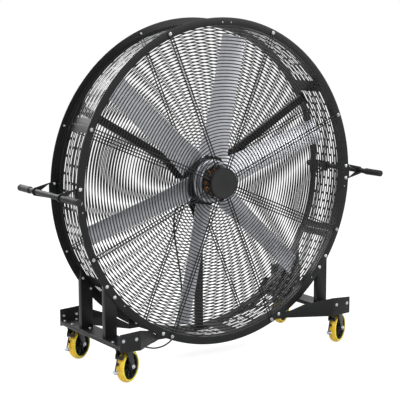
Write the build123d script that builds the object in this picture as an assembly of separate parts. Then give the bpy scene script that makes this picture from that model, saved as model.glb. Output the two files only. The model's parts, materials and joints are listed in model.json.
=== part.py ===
from build123d import *
import os
from math import atan2, cos, degrees, hypot, radians, sin, sqrt, tan

# Drum fan on a wheeled stand. Millimetres. The fan axis runs along Y, the front faces -Y, Z is up.
# The origin is on the floor, under the middle of the drum.

# --- flat sides that stand for a full round ---
case_sides = 48
round_sides = 24
wire_sides = 20
pin_sides = 12

# --- drum and its two angle-section rings ---
axis_height = 913.0
drum_depth = 280.0
drum_bore_radius = 795.0
sheet_thickness = 1.5
panel_count = 6
first_seam_angle = 36.0
seam_gap = 1.0
slot_columns = 3
slots_per_column = 3
slot_column_pitch = 64.5
slot_width = 28.0
slot_bridge = 20.0
seam_margin = 30.0
ring_thickness = 4.0
ring_radial_leg = 38.0
ring_axial_leg = 40.0
seat_gap = 0.3

# --- wire grilles ---
spoke_pairs = 8
first_pair_angle = 22.5
pair_spacing = 16.0
wire_size = 5.0
grille_ring_count = 22
grille_ring_pitch = 33.0
grille_clearance = 5.0
centre_ring_radius = 77.0
centre_ring_width = 10.0
tab_width = 28.0
tab_length = 26.0
tab_thickness = 3.0
cap_radius = 80.0
cap_thickness = 9.0
rear_cap_thickness = 3.0

# --- fan rotor: six straight blades of constant chord ---
blade_count = 6
first_blade_angle = 77.6
blade_tip_radius = 758.0
blade_root_radius = 127.0
blade_chord = 128.0
blade_camber = 9.0
blade_thickness = 4.0
blade_pitch = 22.6
blade_plane = -10.0
root_tongue_length = 90.0
root_tongue_chord = 80.0
root_tongue_thickness = 5.0
root_foot_width = 40.0
root_foot_height = 7.0
root_gap = 0.2

# --- motor: fixed shaft and stator, turning bell and hub ---
bell_radius = 88.0
bell_wall = 7.0
bell_front = -85.0
bell_rear = 53.0
bell_face = 6.0
bell_window_count = 12
bell_window_outer = 79.0
bell_window_inner = 42.0
bell_window_angle = 19.0
hub_radius = 118.0
hub_front = -35.0
hub_rear = 30.0
hub_plate_radius = 114.0
hub_plate_thickness = 8.0
shaft_radius = 15.0
shaft_front = -79.0
shaft_rear = 108.0
shaft_nut_radius = 27.0
shaft_nut_height = 16.0
bearing_radius = 31.0
bearing_width = 14.0
bearing_clearance = 0.05
stator_radius = 72.0
stator_front = -35.0
stator_rear = 30.0
tooth_count = 12
tooth_width = 11.0
slot_depth = 20.0
tooth_tip = 5.0
coil_width = 24.0
coil_front_overhang = 40.0
coil_rear_overhang = 14.0
magnet_width = 27.0
magnet_thickness = 6.0
magnet_gap = 1.5
mount_radius = 112.0
mount_front = 58.0
mount_thickness = 16.0

# --- three struts that carry the motor ---
strut_count = 3
first_strut_angle = -90.0
strut_width = 40.0
strut_depth = 26.0
strut_inner_radius = 48.0
strut_foot_width = 76.0
strut_foot_thickness = 5.0
gusset_outer_radius = 250.0
gusset_inner_radius = 126.0
gusset_half_width = 62.0
gusset_thickness = 5.0

# --- push handles ---
handle_standoff = 81.2
handle_half_length = 312.0
handle_tube_radius = 13.5
handle_tube_wall = 2.0
grip_radius = 17.5
grip_length = 120.0
grip_end = 4.0
bracket_thickness = 4.0
bracket_half_height = 52.0
bracket_bolt_offset = 33.0
bracket_eye_radius = 21.0
bracket_rim = 20.0

# --- wheeled stand ---
platform_centre = 658.0
platform_width = 104.0
platform_top = 202.0
platform_half_length = 307.0
platform_thickness = 5.0
platform_lip = 20.0
platform_lip_thickness = 4.0
end_flange_height = 48.0
post_centre = 660.0
post_width = 65.0
post_depth = 30.0
post_thickness = 4.0
post_bolt_offset = 21.0
beam_thickness = 4.0
beam_bolt_x = 363.0
beam_tab_half = 27.0
beam_fold_gap = 10.0
beam_tab_below = 28.0
beam_tab_above = 16.0
beam_end_below = 27.0
beam_end_above = 60.0
beam_bend_below = 32.0
beam_bend_above = 66.0
ring_clearance = 2.0

# --- casters ---
wheel_radius = 80.0
tyre_width = 44.0
core_radius = 61.0
core_rim = 7.0
core_rim_width = 36.0
core_web_width = 12.0
hub_width = 50.0
wheel_hub_radius = 19.0
axle_radius = 6.0
axle_clearance = 0.05
caster_trail = 38.0
caster_heading = 28.0
caster_plate_length = 112.0
caster_plate_inset = 2.0
caster_y = platform_half_length - caster_plate_inset - caster_plate_length / 2
caster_plate_width = 88.0
caster_plate_thickness = 5.0
race_radius = 33.0
race_height = 8.0
race_taper = 4.0
race_gap = 0.4
king_pin_radius = 8.0
king_pin_head_radius = 13.0
king_pin_head_height = 5.0
fork_crown_thickness = 7.0
fork_leg_thickness = 5.0
fork_leg_gap = 1.5
fork_leg_half_width = 30.0
fork_foot_radius = 15.0
fork_top_width = 62.0
axle_head_height = 6.0
axle_head_radius = 10.0
tyre_sides = 28
tyre_chamfer = 6.0

# --- brake pedals ---
brake_pivot_x = -37.5
brake_pivot_z = 139.0
brake_pin_radius = 4.0
brake_sleeve_wall = 4.0
brake_ear_y = 15.0
brake_ear_thickness = 4.0
brake_arm_width = 26.0
brake_arm_thickness = 5.0
brake_shoe_step = 3.0
brake_pad_x = -62.0
brake_pad_z = 72.0
brake_pad_length = 24.0
brake_pad_width = 34.0
brake_pad_thickness = 6.0

# --- fasteners ---
bolt_neck = 9.6
bolt_hole = 10.0
bolt_head_radius = 9.0
bolt_head_height = 5.0
nut_radius = 8.5
nut_height = 7.0

# --- control box on the rear right post ---
box_width = 150.0
box_depth = 74.0
box_height = 150.0
box_bottom = 212.0
box_wall = 3.0
box_standoff = 6.0
lid_thickness = 3.0
knob_radius = 17.0
knob_height = 14.0
knob_shaft_radius = 3.0
switch_width = 20.0
switch_height = 28.0
switch_depth = 8.0
trunnion_length = 0.5
trunnion_radius = 1.5

# --- motor lead ---
lead_radius = 4.5
lead_sides = 6
lead_exit = (-146.0, 70.5, 131.0)

# --- derived places ---
front_face = -drum_depth / 2
ring_bore = drum_bore_radius + sheet_thickness + seat_gap
ring_outer_radius = ring_bore + ring_radial_leg
ring_leg_radius = ring_bore + ring_thickness
stand_clear_radius = ring_leg_radius + ring_clearance
handle_reach = ring_outer_radius + handle_standoff
grille_outer_radius = drum_bore_radius - grille_clearance
bolt_circle = (ring_leg_radius + ring_outer_radius) / 2
flange_inner_face = front_face + ring_thickness


def front_plane(y):
    """A plane across the fan axis: local x is X, local y is Z, its normal points to the front."""
    return Plane(origin=(0, y, axis_height), x_dir=(1, 0, 0), z_dir=(0, -1, 0))


def slab(sketch, y_rear, y_front):
    """Thickens a sketch drawn across the fan axis, from its rear face to its front face."""
    return extrude(front_plane(y_rear) * sketch, amount=y_rear - y_front)


def disc(outer, sides=0):
    """A round sketch, or one with flat sides whose corners lie on the circle."""
    return RegularPolygon(outer, sides) if sides else Circle(outer)


def annulus(outer, inner, sides=0):
    """A ring-shaped sketch."""
    return disc(outer, sides) - disc(inner, sides)


def sector(outer, inner, start, end):
    """Part of a ring between two angles."""
    outer_arc = CenterArc((0, 0), outer, start, end - start)
    inner_arc = CenterArc((0, 0), inner, start, end - start)
    return make_face([outer_arc, Line(outer_arc @ 1, inner_arc @ 1), inner_arc,
                      Line(inner_arc @ 0, outer_arc @ 0)])


def turned(shape, angle):
    """Turns a shape about the fan axis, from +X towards +Z."""
    return Pos(0, 0, axis_height) * Rot(0, -angle, 0) * Pos(0, 0, -axis_height) * shape


def to_rear(shape):
    """The same piece on the other face of the drum."""
    return mirror(shape, about=Plane.XZ)


def to_right(shape):
    """The same piece on the other side of the fan."""
    return mirror(shape, about=Plane.YZ)


def group(shapes):
    """Several separate solids of one node."""
    return Compound(children=[solid for shape in shapes for solid in shape.solids()])


def save(name, shape):
    """Writes one node."""
    export_step(shape, f"parts/{name}.step")


def circle_z(radius, x):
    """Height of the lower point of a circle about the fan axis, at one x."""
    return axis_height - sqrt(radius ** 2 - x ** 2)


# --- places of the bolts that hold the rings to the stand and the handles ---
post_bolts = [(side * (post_centre + step), circle_z(bolt_circle, post_centre + step))
              for side in (-1, 1) for step in (-post_bolt_offset, post_bolt_offset)]
beam_bolts = [(side * beam_bolt_x, circle_z(bolt_circle, beam_bolt_x)) for side in (-1, 1)]
handle_bolts = [(side * sqrt(bolt_circle ** 2 - bracket_bolt_offset ** 2), axis_height + step)
                for side in (-1, 1) for step in (-bracket_bolt_offset, bracket_bolt_offset)]
ring_bolts = post_bolts + beam_bolts + handle_bolts


def bolt_holes(places, y, depth):
    """Square holes for the necks of the coach bolts."""
    return [Pos(x, y, z) * Box(bolt_hole, depth, bolt_hole) for x, z in places]


# --- drum ---
def drum_panels():
    """Six rolled sheet panels that meet at the seams."""
    step = 360 / panel_count
    half_gap = degrees(seam_gap / 2 / drum_bore_radius)
    half_depth = drum_depth / 2 - seat_gap
    panels = []
    for index in range(panel_count):
        start = first_seam_angle + index * step
        outline = sector(drum_bore_radius + sheet_thickness, drum_bore_radius,
                         start + half_gap, start + step - half_gap)
        panels.append(slab(outline, half_depth, -half_depth) - panel_slots(start, start + step))
    return panels


def panel_slots(start, end):
    """Cutters of one panel's grid of slots, which run round the drum."""
    margin = degrees(seam_margin / drum_bore_radius)
    bridge = degrees(slot_bridge / drum_bore_radius)
    pitch = (end - start - 2 * margin + bridge) / slots_per_column
    outer, inner = drum_bore_radius + 2 * sheet_thickness, drum_bore_radius - sheet_thickness
    cutters = []
    for row in range(slots_per_column):
        first = start + margin + row * pitch
        outline = sector(outer, inner, first, first + pitch - bridge)
        for column in range(slot_columns):
            middle = (column - (slot_columns - 1) / 2) * slot_column_pitch
            cutters.append(slab(outline, middle + slot_width / 2, middle - slot_width / 2))
    return cutters


def angle_ring():
    """The front ring: one leg lies on the drum, the other is the flange."""
    sleeve = slab(annulus(ring_leg_radius, ring_bore), front_face + ring_axial_leg, front_face)
    flange = slab(annulus(ring_outer_radius, ring_bore), flange_inner_face, front_face)
    return sleeve + flange - bolt_holes(ring_bolts, front_face, 4 * ring_thickness)


# --- grilles ---
spoke_face = front_face - wire_size
ring_wire_rear = front_face + wire_size


def grille_spokes():
    """Eight pairs of straight wires, their bolting tabs, the centre ring and the outer ring."""
    spoke_end = bolt_circle - bolt_head_radius
    spoke_start = centre_ring_radius - centre_ring_width / 2
    spoke_length = spoke_end - spoke_start
    pieces = [slab(annulus(centre_ring_radius, centre_ring_radius - centre_ring_width, round_sides),
                   front_face, spoke_face),
              slab(annulus(grille_outer_radius, grille_outer_radius - wire_size, wire_sides),
                   ring_wire_rear, front_face - wire_size / 4)]
    wire = Box(spoke_length, wire_size, wire_size)
    tab = Box(tab_length, tab_thickness, tab_width)
    for pair in range(spoke_pairs):
        angle = first_pair_angle + pair * 360 / spoke_pairs
        for side in (-1, 1):
            place = Pos(spoke_start + spoke_length / 2, front_face - wire_size / 2,
                        axis_height + side * pair_spacing / 2)
            pieces.append(turned(place * wire, angle))
        place = Pos(bolt_circle - tab_length / 4, front_face - tab_thickness / 2, axis_height)
        pieces.append(turned(place * tab, angle))
    return pieces[0] + pieces[1:]


def grille_rings():
    """The concentric wires, which lie flat against the back of the spokes."""
    rings = []
    for index in range(1, grille_ring_count):
        radius = grille_outer_radius - index * grille_ring_pitch
        outline = annulus(radius, radius - wire_size, wire_sides)
        rings.append(slab(outline, ring_wire_rear, front_face))
    return rings


# --- motor, hub and blades ---
def centred_disc(radius, y_rear, y_front):
    """A flat-sided disc on the fan axis."""
    return slab(disc(radius, case_sides), y_rear, y_front)


def rotor_bell():
    """The motor's turning case: a cup whose front face has windows over the windings."""
    case = slab(annulus(bell_radius, bell_radius - bell_wall, case_sides), bell_rear, bell_front)
    seat = Circle(bearing_radius + bearing_clearance)
    face = slab(disc(bell_radius - bell_wall / 2, case_sides) - seat, bell_front + bell_face, bell_front)
    housing = slab(disc(bearing_radius + bell_wall, round_sides) - seat,
                   bell_front + bearing_width + bell_face, bell_front)
    half = radians(bell_window_angle / 2)
    corners = [(radius * cos(half), side * radius * sin(half))
               for radius, side in ((bell_window_inner, 1), (bell_window_inner, -1),
                                    (bell_window_outer, -1), (bell_window_outer, 1))]
    window = slab(Polygon(*corners, align=None), bell_front + 2 * bell_face, bell_front - bell_face)
    windows = [turned(window, index * 360 / bell_window_count) for index in range(bell_window_count)]
    return case + face + housing - windows


def bell_cover():
    """The rear cover of the bell, which carries the rear bearing."""
    seat = Circle(bearing_radius + bearing_clearance)
    plate = slab(disc(bell_radius - bell_wall, case_sides) - seat, bell_rear, bell_rear - bell_face)
    boss = slab(disc(bearing_radius + bell_wall, round_sides) - seat, bell_rear, bell_rear - bearing_width)
    return plate + boss


def shaft_hole():
    """The sketch of a fixed piece's hole for the shaft, its flats beside the shaft's own."""
    return disc(shaft_radius + bearing_clearance, round_sides)


def stator_core():
    """The lamination stack: a core with twelve straight teeth that widen at the air gap."""
    root = stator_radius - slot_depth
    core = disc(root, 2 * tooth_count) - shaft_hole()
    tooth = Pos((root + stator_radius) / 2 - tooth_tip, 0) * Rectangle(slot_depth + tooth_tip, tooth_width)
    shoe = Pos(stator_radius - tooth_tip / 2, 0) * Rectangle(tooth_tip, 2.4 * tooth_width)
    outline = core + [Rot(0, 0, index * 360 / tooth_count) * (tooth + shoe) for index in range(tooth_count)]
    return slab(outline, stator_rear, stator_front)


def stator_coils():
    """Twelve coils, one round each tooth, whose ends stand out of the laminations."""
    coils = []
    stack = stator_rear - stator_front
    middle_y = (stator_rear + stator_front) / 2
    inner = stator_radius - slot_depth + seat_gap
    radial = slot_depth - tooth_tip - 2 * seat_gap
    shift = (coil_rear_overhang - coil_front_overhang) / 2
    for index in range(tooth_count):
        outer = Box(radial, stack + coil_front_overhang + coil_rear_overhang, coil_width)
        outer = Pos(0, shift, 0) * chamfer(outer.edges().filter_by(Axis.X), coil_width / 3)
        core = Box(2 * radial, stack + 2 * seat_gap, tooth_width + 2 * seat_gap)
        place = Pos(inner + radial / 2, middle_y, axis_height)
        coils.append(turned(place * (outer - core), index * 360 / tooth_count))
    return coils


def magnets():
    """Twelve flat magnets bonded inside the bell, clear of the stator."""
    inner = stator_radius + magnet_gap
    places = []
    for index in range(tooth_count):
        block = Box(magnet_thickness, stator_rear - stator_front, magnet_width)
        place = Pos(inner + magnet_thickness / 2, (stator_rear + stator_front) / 2, axis_height)
        places.append(turned(place * block, (index + 0.5) * 360 / tooth_count))
    return places


def blade_section(chord, thickness, offset):
    """A thin cambered section: x is the chord, y the height of the arc over it."""
    sag = blade_camber
    arc_radius = ((blade_chord / 2) ** 2 + sag ** 2) / (2 * sag)
    half = degrees(atan2(chord / 2, arc_radius))
    centre = (0, sag - arc_radius)
    outer = CenterArc(centre, arc_radius + offset + thickness, 90 - half, 2 * half)
    inner = CenterArc(centre, arc_radius + offset, 90 - half, 2 * half)
    return make_face([outer, Line(outer @ 1, inner @ 1), inner, Line(inner @ 0, outer @ 0)])


def blade_frame(radius):
    """A plane across a blade that points along +X: local x is the chord, local y faces the rear."""
    pitch = radians(blade_pitch)
    chord_way = Vector(0, -sin(pitch), -cos(pitch))
    return Plane(origin=(radius, blade_plane, axis_height), x_dir=chord_way, z_dir=(1, 0, 0))


def blade(index):
    """One extruded blade of constant section."""
    outline = blade_section(blade_chord, blade_thickness, 0)
    body = extrude(blade_frame(blade_root_radius) * outline, amount=blade_tip_radius - blade_root_radius)
    return turned(body, blade_angle(index))


def blade_angle(index):
    """Angle of one blade at rest."""
    return first_blade_angle + index * 360 / blade_count


def blade_root(index):
    """The cast root: a foot on the hub drum and a tongue behind the blade."""
    tongue_outline = blade_section(root_tongue_chord, root_tongue_thickness, blade_thickness + root_gap)
    seat_radius = hub_radius + seat_gap
    tongue_start = seat_radius + root_foot_height / 2
    tongue = extrude(blade_frame(tongue_start) * tongue_outline,
                     amount=blade_root_radius + root_tongue_length - tongue_start)
    foot = blade_frame(seat_radius - root_foot_height) * Box(root_tongue_chord, root_foot_width,
                                                             2 * root_foot_height,
                                                             align=(Align.CENTER, Align.CENTER, Align.MIN))
    foot -= slab(Circle(seat_radius), 2 * hub_rear, 2 * hub_front)
    return turned(tongue + foot, blade_angle(index))


def motor_mount():
    """The thick plate between the struts and the fixed shaft."""
    outline = disc(mount_radius, case_sides) - shaft_hole()
    return slab(outline, mount_front + mount_thickness, mount_front)


def shaft_nut():
    """The nut that holds the shaft in the mount."""
    outline = RegularPolygon(shaft_nut_radius, 6) - shaft_hole()
    return slab(outline, strut_front + shaft_nut_height, strut_front)


# --- struts ---
strut_front = mount_front + mount_thickness
strut_rear = strut_front + strut_depth


def strut(angle):
    """One strut with its gusset at the motor and its foot on the drum."""
    foot_radius = sqrt(drum_bore_radius ** 2 - (strut_foot_width / 2) ** 2) - seat_gap
    length = foot_radius - strut_inner_radius
    middle_y = (strut_front + strut_rear) / 2
    bar = Pos(strut_inner_radius + length / 2, middle_y, axis_height) * Box(length, strut_depth, strut_width)
    foot = (Pos(foot_radius - strut_foot_thickness / 2, middle_y, axis_height)
            * Box(strut_foot_thickness, 2 * strut_depth, strut_foot_width))
    outline = Polygon((strut_inner_radius, strut_width / 2), (gusset_inner_radius, gusset_half_width),
                      (gusset_outer_radius, strut_width / 2), (gusset_outer_radius, -strut_width / 2),
                      (gusset_inner_radius, -gusset_half_width), (strut_inner_radius, -strut_width / 2),
                      align=None)
    gusset = slab(outline, strut_front + gusset_thickness, strut_front)
    return turned(bar + foot + gusset, angle)


# --- handles ---
def handle_tube():
    """The left handle's tube."""
    length = 2 * handle_half_length - 2 * grip_end
    section = annulus(handle_tube_radius, handle_tube_radius - handle_tube_wall, round_sides)
    return slab(Pos(-handle_reach, 0) * section, length / 2, -length / 2)


def handle_grip():
    """One sleeve grip on the front end of the left handle."""
    sleeve = annulus(grip_radius, handle_tube_radius + bearing_clearance, round_sides)
    end = disc(grip_radius, round_sides)
    place = Pos(-handle_reach, 0)
    front = -handle_half_length
    body = slab(place * sleeve, front + grip_length, front + grip_end)
    return body + slab(place * end, front + grip_end, front)


def handle_bracket():
    """The front bracket of the left handle: a triangular plate with an eye and a cut-out."""
    base = -stand_clear_radius + ring_radial_leg / 2
    tip = -handle_reach
    eye = Pos(tip, 0) * Circle(bracket_eye_radius)
    outline = Polygon((base, bracket_half_height), (tip, bracket_eye_radius), (tip, -bracket_eye_radius),
                      (base, -bracket_half_height), align=None)
    inner_base = -ring_outer_radius - bracket_rim / 2
    inner_tip = tip + bracket_eye_radius + bracket_rim / 2
    cut = Polygon((inner_base, bracket_half_height - bracket_rim), (inner_tip, bracket_eye_radius / 3),
                  (inner_tip, -bracket_eye_radius / 3), (inner_base, -bracket_half_height + bracket_rim),
                  align=None)
    plate = outline + eye - Pos(tip, 0) * Circle(handle_tube_radius + seat_gap) - cut
    plate = plate - Circle(stand_clear_radius)
    rear = flange_inner_face + bracket_thickness
    return slab(plate, rear, flange_inner_face) - bolt_holes(handle_bolts, flange_inner_face, 20)


# --- stand ---
def post():
    """The front left post: a rectangular tube whose top follows the ring."""
    height = axis_height - platform_top
    centre = Pos(-post_centre, flange_inner_face + post_depth / 2, platform_top + height / 2)
    body = centre * Box(post_width, post_depth, height)
    body -= (centre * Pos(0, 0, post_thickness)
             * Box(post_width - 2 * post_thickness, post_depth - 2 * post_thickness, height))
    body -= slab(Circle(stand_clear_radius), flange_inner_face + 2 * post_depth, front_face)
    return body - bolt_holes(post_bolts, flange_inner_face, 3 * post_depth)


def platform():
    """The left platform: a folded channel with an upturned flange at each end."""
    length = 2 * platform_half_length
    top = (Pos(-platform_centre, 0, platform_top - platform_thickness / 2)
           * Box(platform_width, length, platform_thickness))
    for side in (-1, 1):
        edge = -platform_centre + side * (platform_width - platform_lip_thickness) / 2
        top += (Pos(edge, 0, platform_top - platform_lip / 2)
                * Box(platform_lip_thickness, length, platform_lip))
        end = side * (platform_half_length - platform_lip_thickness / 2)
        top += (Pos(-platform_centre, end, platform_top + end_flange_height / 2)
                * Box(platform_width, platform_lip_thickness, end_flange_height))
    return top


def beam():
    """The front left beam: a folded tapered plate from the platform's end to the ring."""
    tab_y = flange_inner_face + beam_thickness / 2
    end_y = -platform_half_length - beam_thickness / 2
    inner_x = -beam_bolt_x + beam_tab_half
    tab_x = -beam_bolt_x - beam_tab_half
    fold_x = tab_x - beam_fold_gap
    bolt_z = circle_z(bolt_circle, beam_bolt_x)
    bend_x = -platform_centre + platform_width / 2 + 2 * beam_thickness
    end_x = -platform_centre - platform_width / 2
    plan = Polyline((inner_x, tab_y), (fold_x, tab_y), (bend_x, end_y), (end_x, end_y))
    tall = end_flange_height + platform_top + beam_bend_above
    sheet = extrude(trace(plan, beam_thickness), amount=tall)
    tab_bottom, tab_top = bolt_z - beam_tab_below, bolt_z + beam_tab_above
    side_view = Polygon((inner_x, tab_bottom), (inner_x, tab_top), (tab_x, tab_top),
                        (bend_x, platform_top + beam_bend_above), (end_x, platform_top + beam_end_above),
                        (end_x, platform_top - beam_end_below), (bend_x, platform_top - beam_bend_below),
                        (fold_x, tab_bottom), align=None)
    side_plane = Plane(origin=(0, 0, 0), x_dir=(1, 0, 0), z_dir=(0, -1, 0))
    blank = extrude(side_plane * side_view, amount=2 * platform_half_length)
    body = sheet & blank
    body -= slab(Circle(stand_clear_radius), flange_inner_face + 2 * beam_thickness, flange_inner_face)
    body -= slab(Circle(ring_outer_radius + ring_clearance), flange_inner_face, 2 * front_face)
    return body - bolt_holes(beam_bolts, flange_inner_face, 20)


# --- casters ---
underside = platform_top - platform_thickness
race_top = underside - caster_plate_thickness
crown_top = race_top - race_height - race_gap
leg_inner = hub_width / 2 + fork_leg_gap


def caster_plate():
    """The fixed top plate with the upper ball race and the king pin that carries the fork."""
    plate = Box(caster_plate_width, caster_plate_length, caster_plate_thickness,
                align=(Align.CENTER, Align.CENTER, Align.MIN))
    race = loft([disc(race_radius, round_sides),
                 Pos(0, 0, -race_height) * disc(race_radius - race_taper, round_sides)], ruled=True)
    pin_length = race_height + 2 * race_gap + fork_crown_thickness + king_pin_head_height
    pin = extrude(disc(king_pin_radius, pin_sides), amount=-pin_length)
    head = extrude(disc(king_pin_head_radius, pin_sides), amount=king_pin_head_height)
    return Pos(0, 0, race_top) * (plate + race + pin + Pos(0, 0, -pin_length) * head)


def fork():
    """The swivel fork, in its own frame: the wheel trails along +X, the axle lies along Y."""
    outer_y = leg_inner + fork_leg_thickness
    crown = (Pos(0, 0, crown_top - fork_crown_thickness / 2)
             * Box(fork_top_width, 2 * outer_y, fork_crown_thickness))
    leg_outline = Polygon((-fork_leg_half_width, crown_top), (fork_leg_half_width, crown_top),
                          (caster_trail + fork_foot_radius, wheel_radius),
                          (caster_trail + fork_foot_radius / 2, wheel_radius - fork_foot_radius),
                          (caster_trail - fork_foot_radius / 2, wheel_radius - fork_foot_radius),
                          (caster_trail - fork_foot_radius, wheel_radius), align=None)
    body = crown
    for side in (-1, 1):
        plane = Plane(origin=(0, side * (leg_inner + fork_leg_thickness / 2), 0), x_dir=(1, 0, 0),
                      z_dir=(0, -1, 0))
        body += extrude(plane * leg_outline, amount=fork_leg_thickness / 2, both=True)
    ear_outline = Polygon((-fork_leg_half_width, crown_top), (-fork_leg_half_width + 4, crown_top - 30),
                          (brake_pivot_x + 8, brake_pivot_z - 8), (brake_pivot_x - 8, brake_pivot_z - 8),
                          (brake_pivot_x - 8, brake_pivot_z + 8), align=None)
    for side in (-1, 1):
        plane = Plane(origin=(0, side * (brake_ear_y + brake_ear_thickness / 2), 0), x_dir=(1, 0, 0),
                      z_dir=(0, -1, 0))
        body += extrude(plane * ear_outline, amount=brake_ear_thickness / 2, both=True)
    body += cross_bar(disc(brake_pin_radius, pin_sides), 2 * (brake_ear_y + brake_ear_thickness),
                      brake_pivot_x, brake_pivot_z)
    hole = Cylinder(king_pin_radius + bearing_clearance, 4 * fork_crown_thickness)
    return body - Pos(0, 0, crown_top) * hole


def cross_bar(section, width, x, z):
    """A bar of one section across the fork, centred at x and z."""
    return Pos(x, 0, z) * Rot(90, 0, 0) * extrude(section, amount=width / 2, both=True)


def axle():
    """The wheel bolt with its head and nut outside the fork legs."""
    outer_y = leg_inner + fork_leg_thickness
    body = cross_bar(disc(axle_radius, pin_sides), 2 * outer_y, caster_trail, wheel_radius)
    for side in (-1, 1):
        end = Plane(origin=(caster_trail, side * outer_y, wheel_radius), x_dir=(1, 0, 0),
                    z_dir=(0, side, 0))
        body += extrude(end * disc(axle_head_radius, 6), amount=axle_head_height)
    return body


def wheel_round(radius):
    """A flat-sided round of the wheel that stands on one of its sides."""
    return RegularPolygon(radius, tyre_sides, major_radius=False, rotation=180 / tyre_sides)


def tyre():
    """The tyre: flat-sided tread with bevelled shoulders."""
    half = tyre_width / 2
    tread = wheel_round(wheel_radius)
    inner = extrude(tread, amount=half - tyre_chamfer, both=True)
    cone = loft([Pos(0, 0, half - tyre_chamfer) * tread,
                 Pos(0, 0, half) * wheel_round(wheel_radius - tyre_chamfer)], ruled=True)
    seat = extrude(wheel_round(core_radius), amount=half, both=True)
    return inner + cone + mirror(cone, about=Plane.XY) - seat


def wheel_core():
    """The wheel centre: a rim, a web and a hub bored for the axle."""
    rim = extrude(wheel_round(core_radius), amount=core_rim_width / 2, both=True)
    rim -= extrude(wheel_round(core_radius - core_rim), amount=core_rim_width / 2, both=True)
    web = extrude(wheel_round(core_radius - core_rim / 2), amount=core_web_width / 2, both=True)
    hub = extrude(disc(wheel_hub_radius, pin_sides), amount=hub_width / 2, both=True)
    return rim + web + hub - Cylinder(axle_radius + axle_clearance, hub_width)


def on_axle(shape):
    """Places a piece of the wheel on the axle, in the fork's frame."""
    return Pos(caster_trail, 0, wheel_radius) * Rot(90, 0, 0) * shape


def brake():
    """The brake pedal: a sleeve on its pin, an arm in front of the tyre and a foot pad."""
    sleeve = cross_bar(disc(brake_pin_radius + brake_sleeve_wall, pin_sides), brake_arm_width, 0, 0)
    reach = hypot(brake_pad_x - brake_pivot_x, brake_pad_z - brake_pivot_z)
    lean = degrees(atan2(brake_pivot_x - brake_pad_x, brake_pivot_z - brake_pad_z))
    arm = Pos(0, 0, -reach / 2) * Box(brake_arm_thickness, brake_arm_width, reach)
    shoe = (Pos(brake_shoe_step, 0, -0.45 * reach)
            * Box(brake_arm_thickness, brake_arm_width, 0.2 * reach))
    lever = Pos(brake_pivot_x, 0, brake_pivot_z) * Rot(0, lean, 0) * (sleeve + arm + shoe)
    pad = (Pos(brake_pad_x - brake_pad_length / 3, 0, brake_pad_z)
           * Box(brake_pad_length, brake_pad_width, brake_pad_thickness))
    return lever + pad - cross_bar(Circle(brake_pin_radius + bearing_clearance), 2 * brake_arm_width,
                                   brake_pivot_x, brake_pivot_z)


# --- fasteners ---
def frame_bolts():
    """Coach bolts through the rings, with hexagon nuts behind the posts, beams and brackets."""
    bolts = []
    head = RegularPolygon(bolt_head_radius, 8)
    for x, z in ring_bolts:
        held = post_depth if (x, z) in post_bolts else beam_thickness
        neck_end = flange_inner_face + held
        thread_end = neck_end + nut_height + 1
        place = Pos(x, z - axis_height)
        body = slab(place * head, front_face, front_face - bolt_head_height)
        body += slab(place * Rectangle(bolt_neck, bolt_neck), thread_end, front_face)
        nut = slab(place * RegularPolygon(nut_radius, 6), neck_end + nut_height, neck_end)
        bolts.append(body + nut)
    return bolts + [to_rear(bolt) for bolt in bolts]


# --- control box ---
box_front = -front_face + 2.0
box_middle_y = box_front + box_standoff + box_depth / 2
box_rear = box_front + box_standoff + box_depth


def control_box():
    """The open-backed housing on two pads against the rear right post."""
    centre = Pos(post_centre, box_middle_y, box_bottom + box_height / 2)
    hollow = Pos(0, box_wall / 2, 0) * Box(box_width - 2 * box_wall, box_depth - box_wall,
                                           box_height - 2 * box_wall)
    shell = centre * (Box(box_width, box_depth, box_height) - hollow)
    pad_front = -flange_inner_face
    pad_depth = box_front + box_standoff - pad_front
    for height in (0.2, 0.8):
        place = Pos(post_centre, pad_front + pad_depth / 2, box_bottom + height * box_height)
        shell += place * Box(post_width - 4 * post_thickness, pad_depth, 24)
    return shell


def control_lid():
    """The rear lid, bored for the knob's shaft and open for the switch."""
    plate = (Pos(post_centre, box_rear + lid_thickness / 2, box_bottom + box_height / 2)
             * Box(box_width, lid_thickness, box_height))
    plate -= knob_place() * Cylinder(knob_shaft_radius + bearing_clearance, 4 * knob_height)
    plate -= switch_place() * Box(switch_width + 2 * seat_gap, 8 * lid_thickness,
                                  switch_height + 2 * seat_gap)
    return plate


def knob_place():
    """Centre of the knob's base on the lid, its axis pointing to the rear."""
    return Pos(post_centre, box_rear + lid_thickness, box_bottom + 0.68 * box_height) * Rot(-90, 0, 0)


def switch_place():
    """Centre of the switch's rocker in the lid."""
    return Pos(post_centre, box_rear + lid_thickness, box_bottom + 0.28 * box_height)


def speed_knob():
    """The speed knob with its shaft and pointer."""
    base = extrude(disc(knob_radius, round_sides), amount=knob_height)
    shaft = extrude(Circle(knob_shaft_radius), amount=-4 * lid_thickness)
    pointer = Pos(0, knob_radius / 2, knob_height) * Box(3, knob_radius, 2)
    return knob_place() * Pos(0, 0, seat_gap) * (base + pointer + shaft)


def power_switch():
    """The rocker, which tips about the trunnions at its middle."""
    half_height = switch_height / 2
    outline = Polygon((-half_height + 1, -switch_depth), (half_height - 1, -switch_depth),
                      (half_height - 1, 1), (0, 3), (-half_height + 1, 4), align=None)
    upright = Plane(origin=(0, 0, 0), x_dir=(0, 0, 1), z_dir=(-1, 0, 0))
    rocker = extrude(upright * outline, amount=switch_width / 2 - trunnion_length, both=True)
    return switch_place() * (rocker + Rot(0, 90, 0) * Cylinder(trunnion_radius, switch_width))


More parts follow.
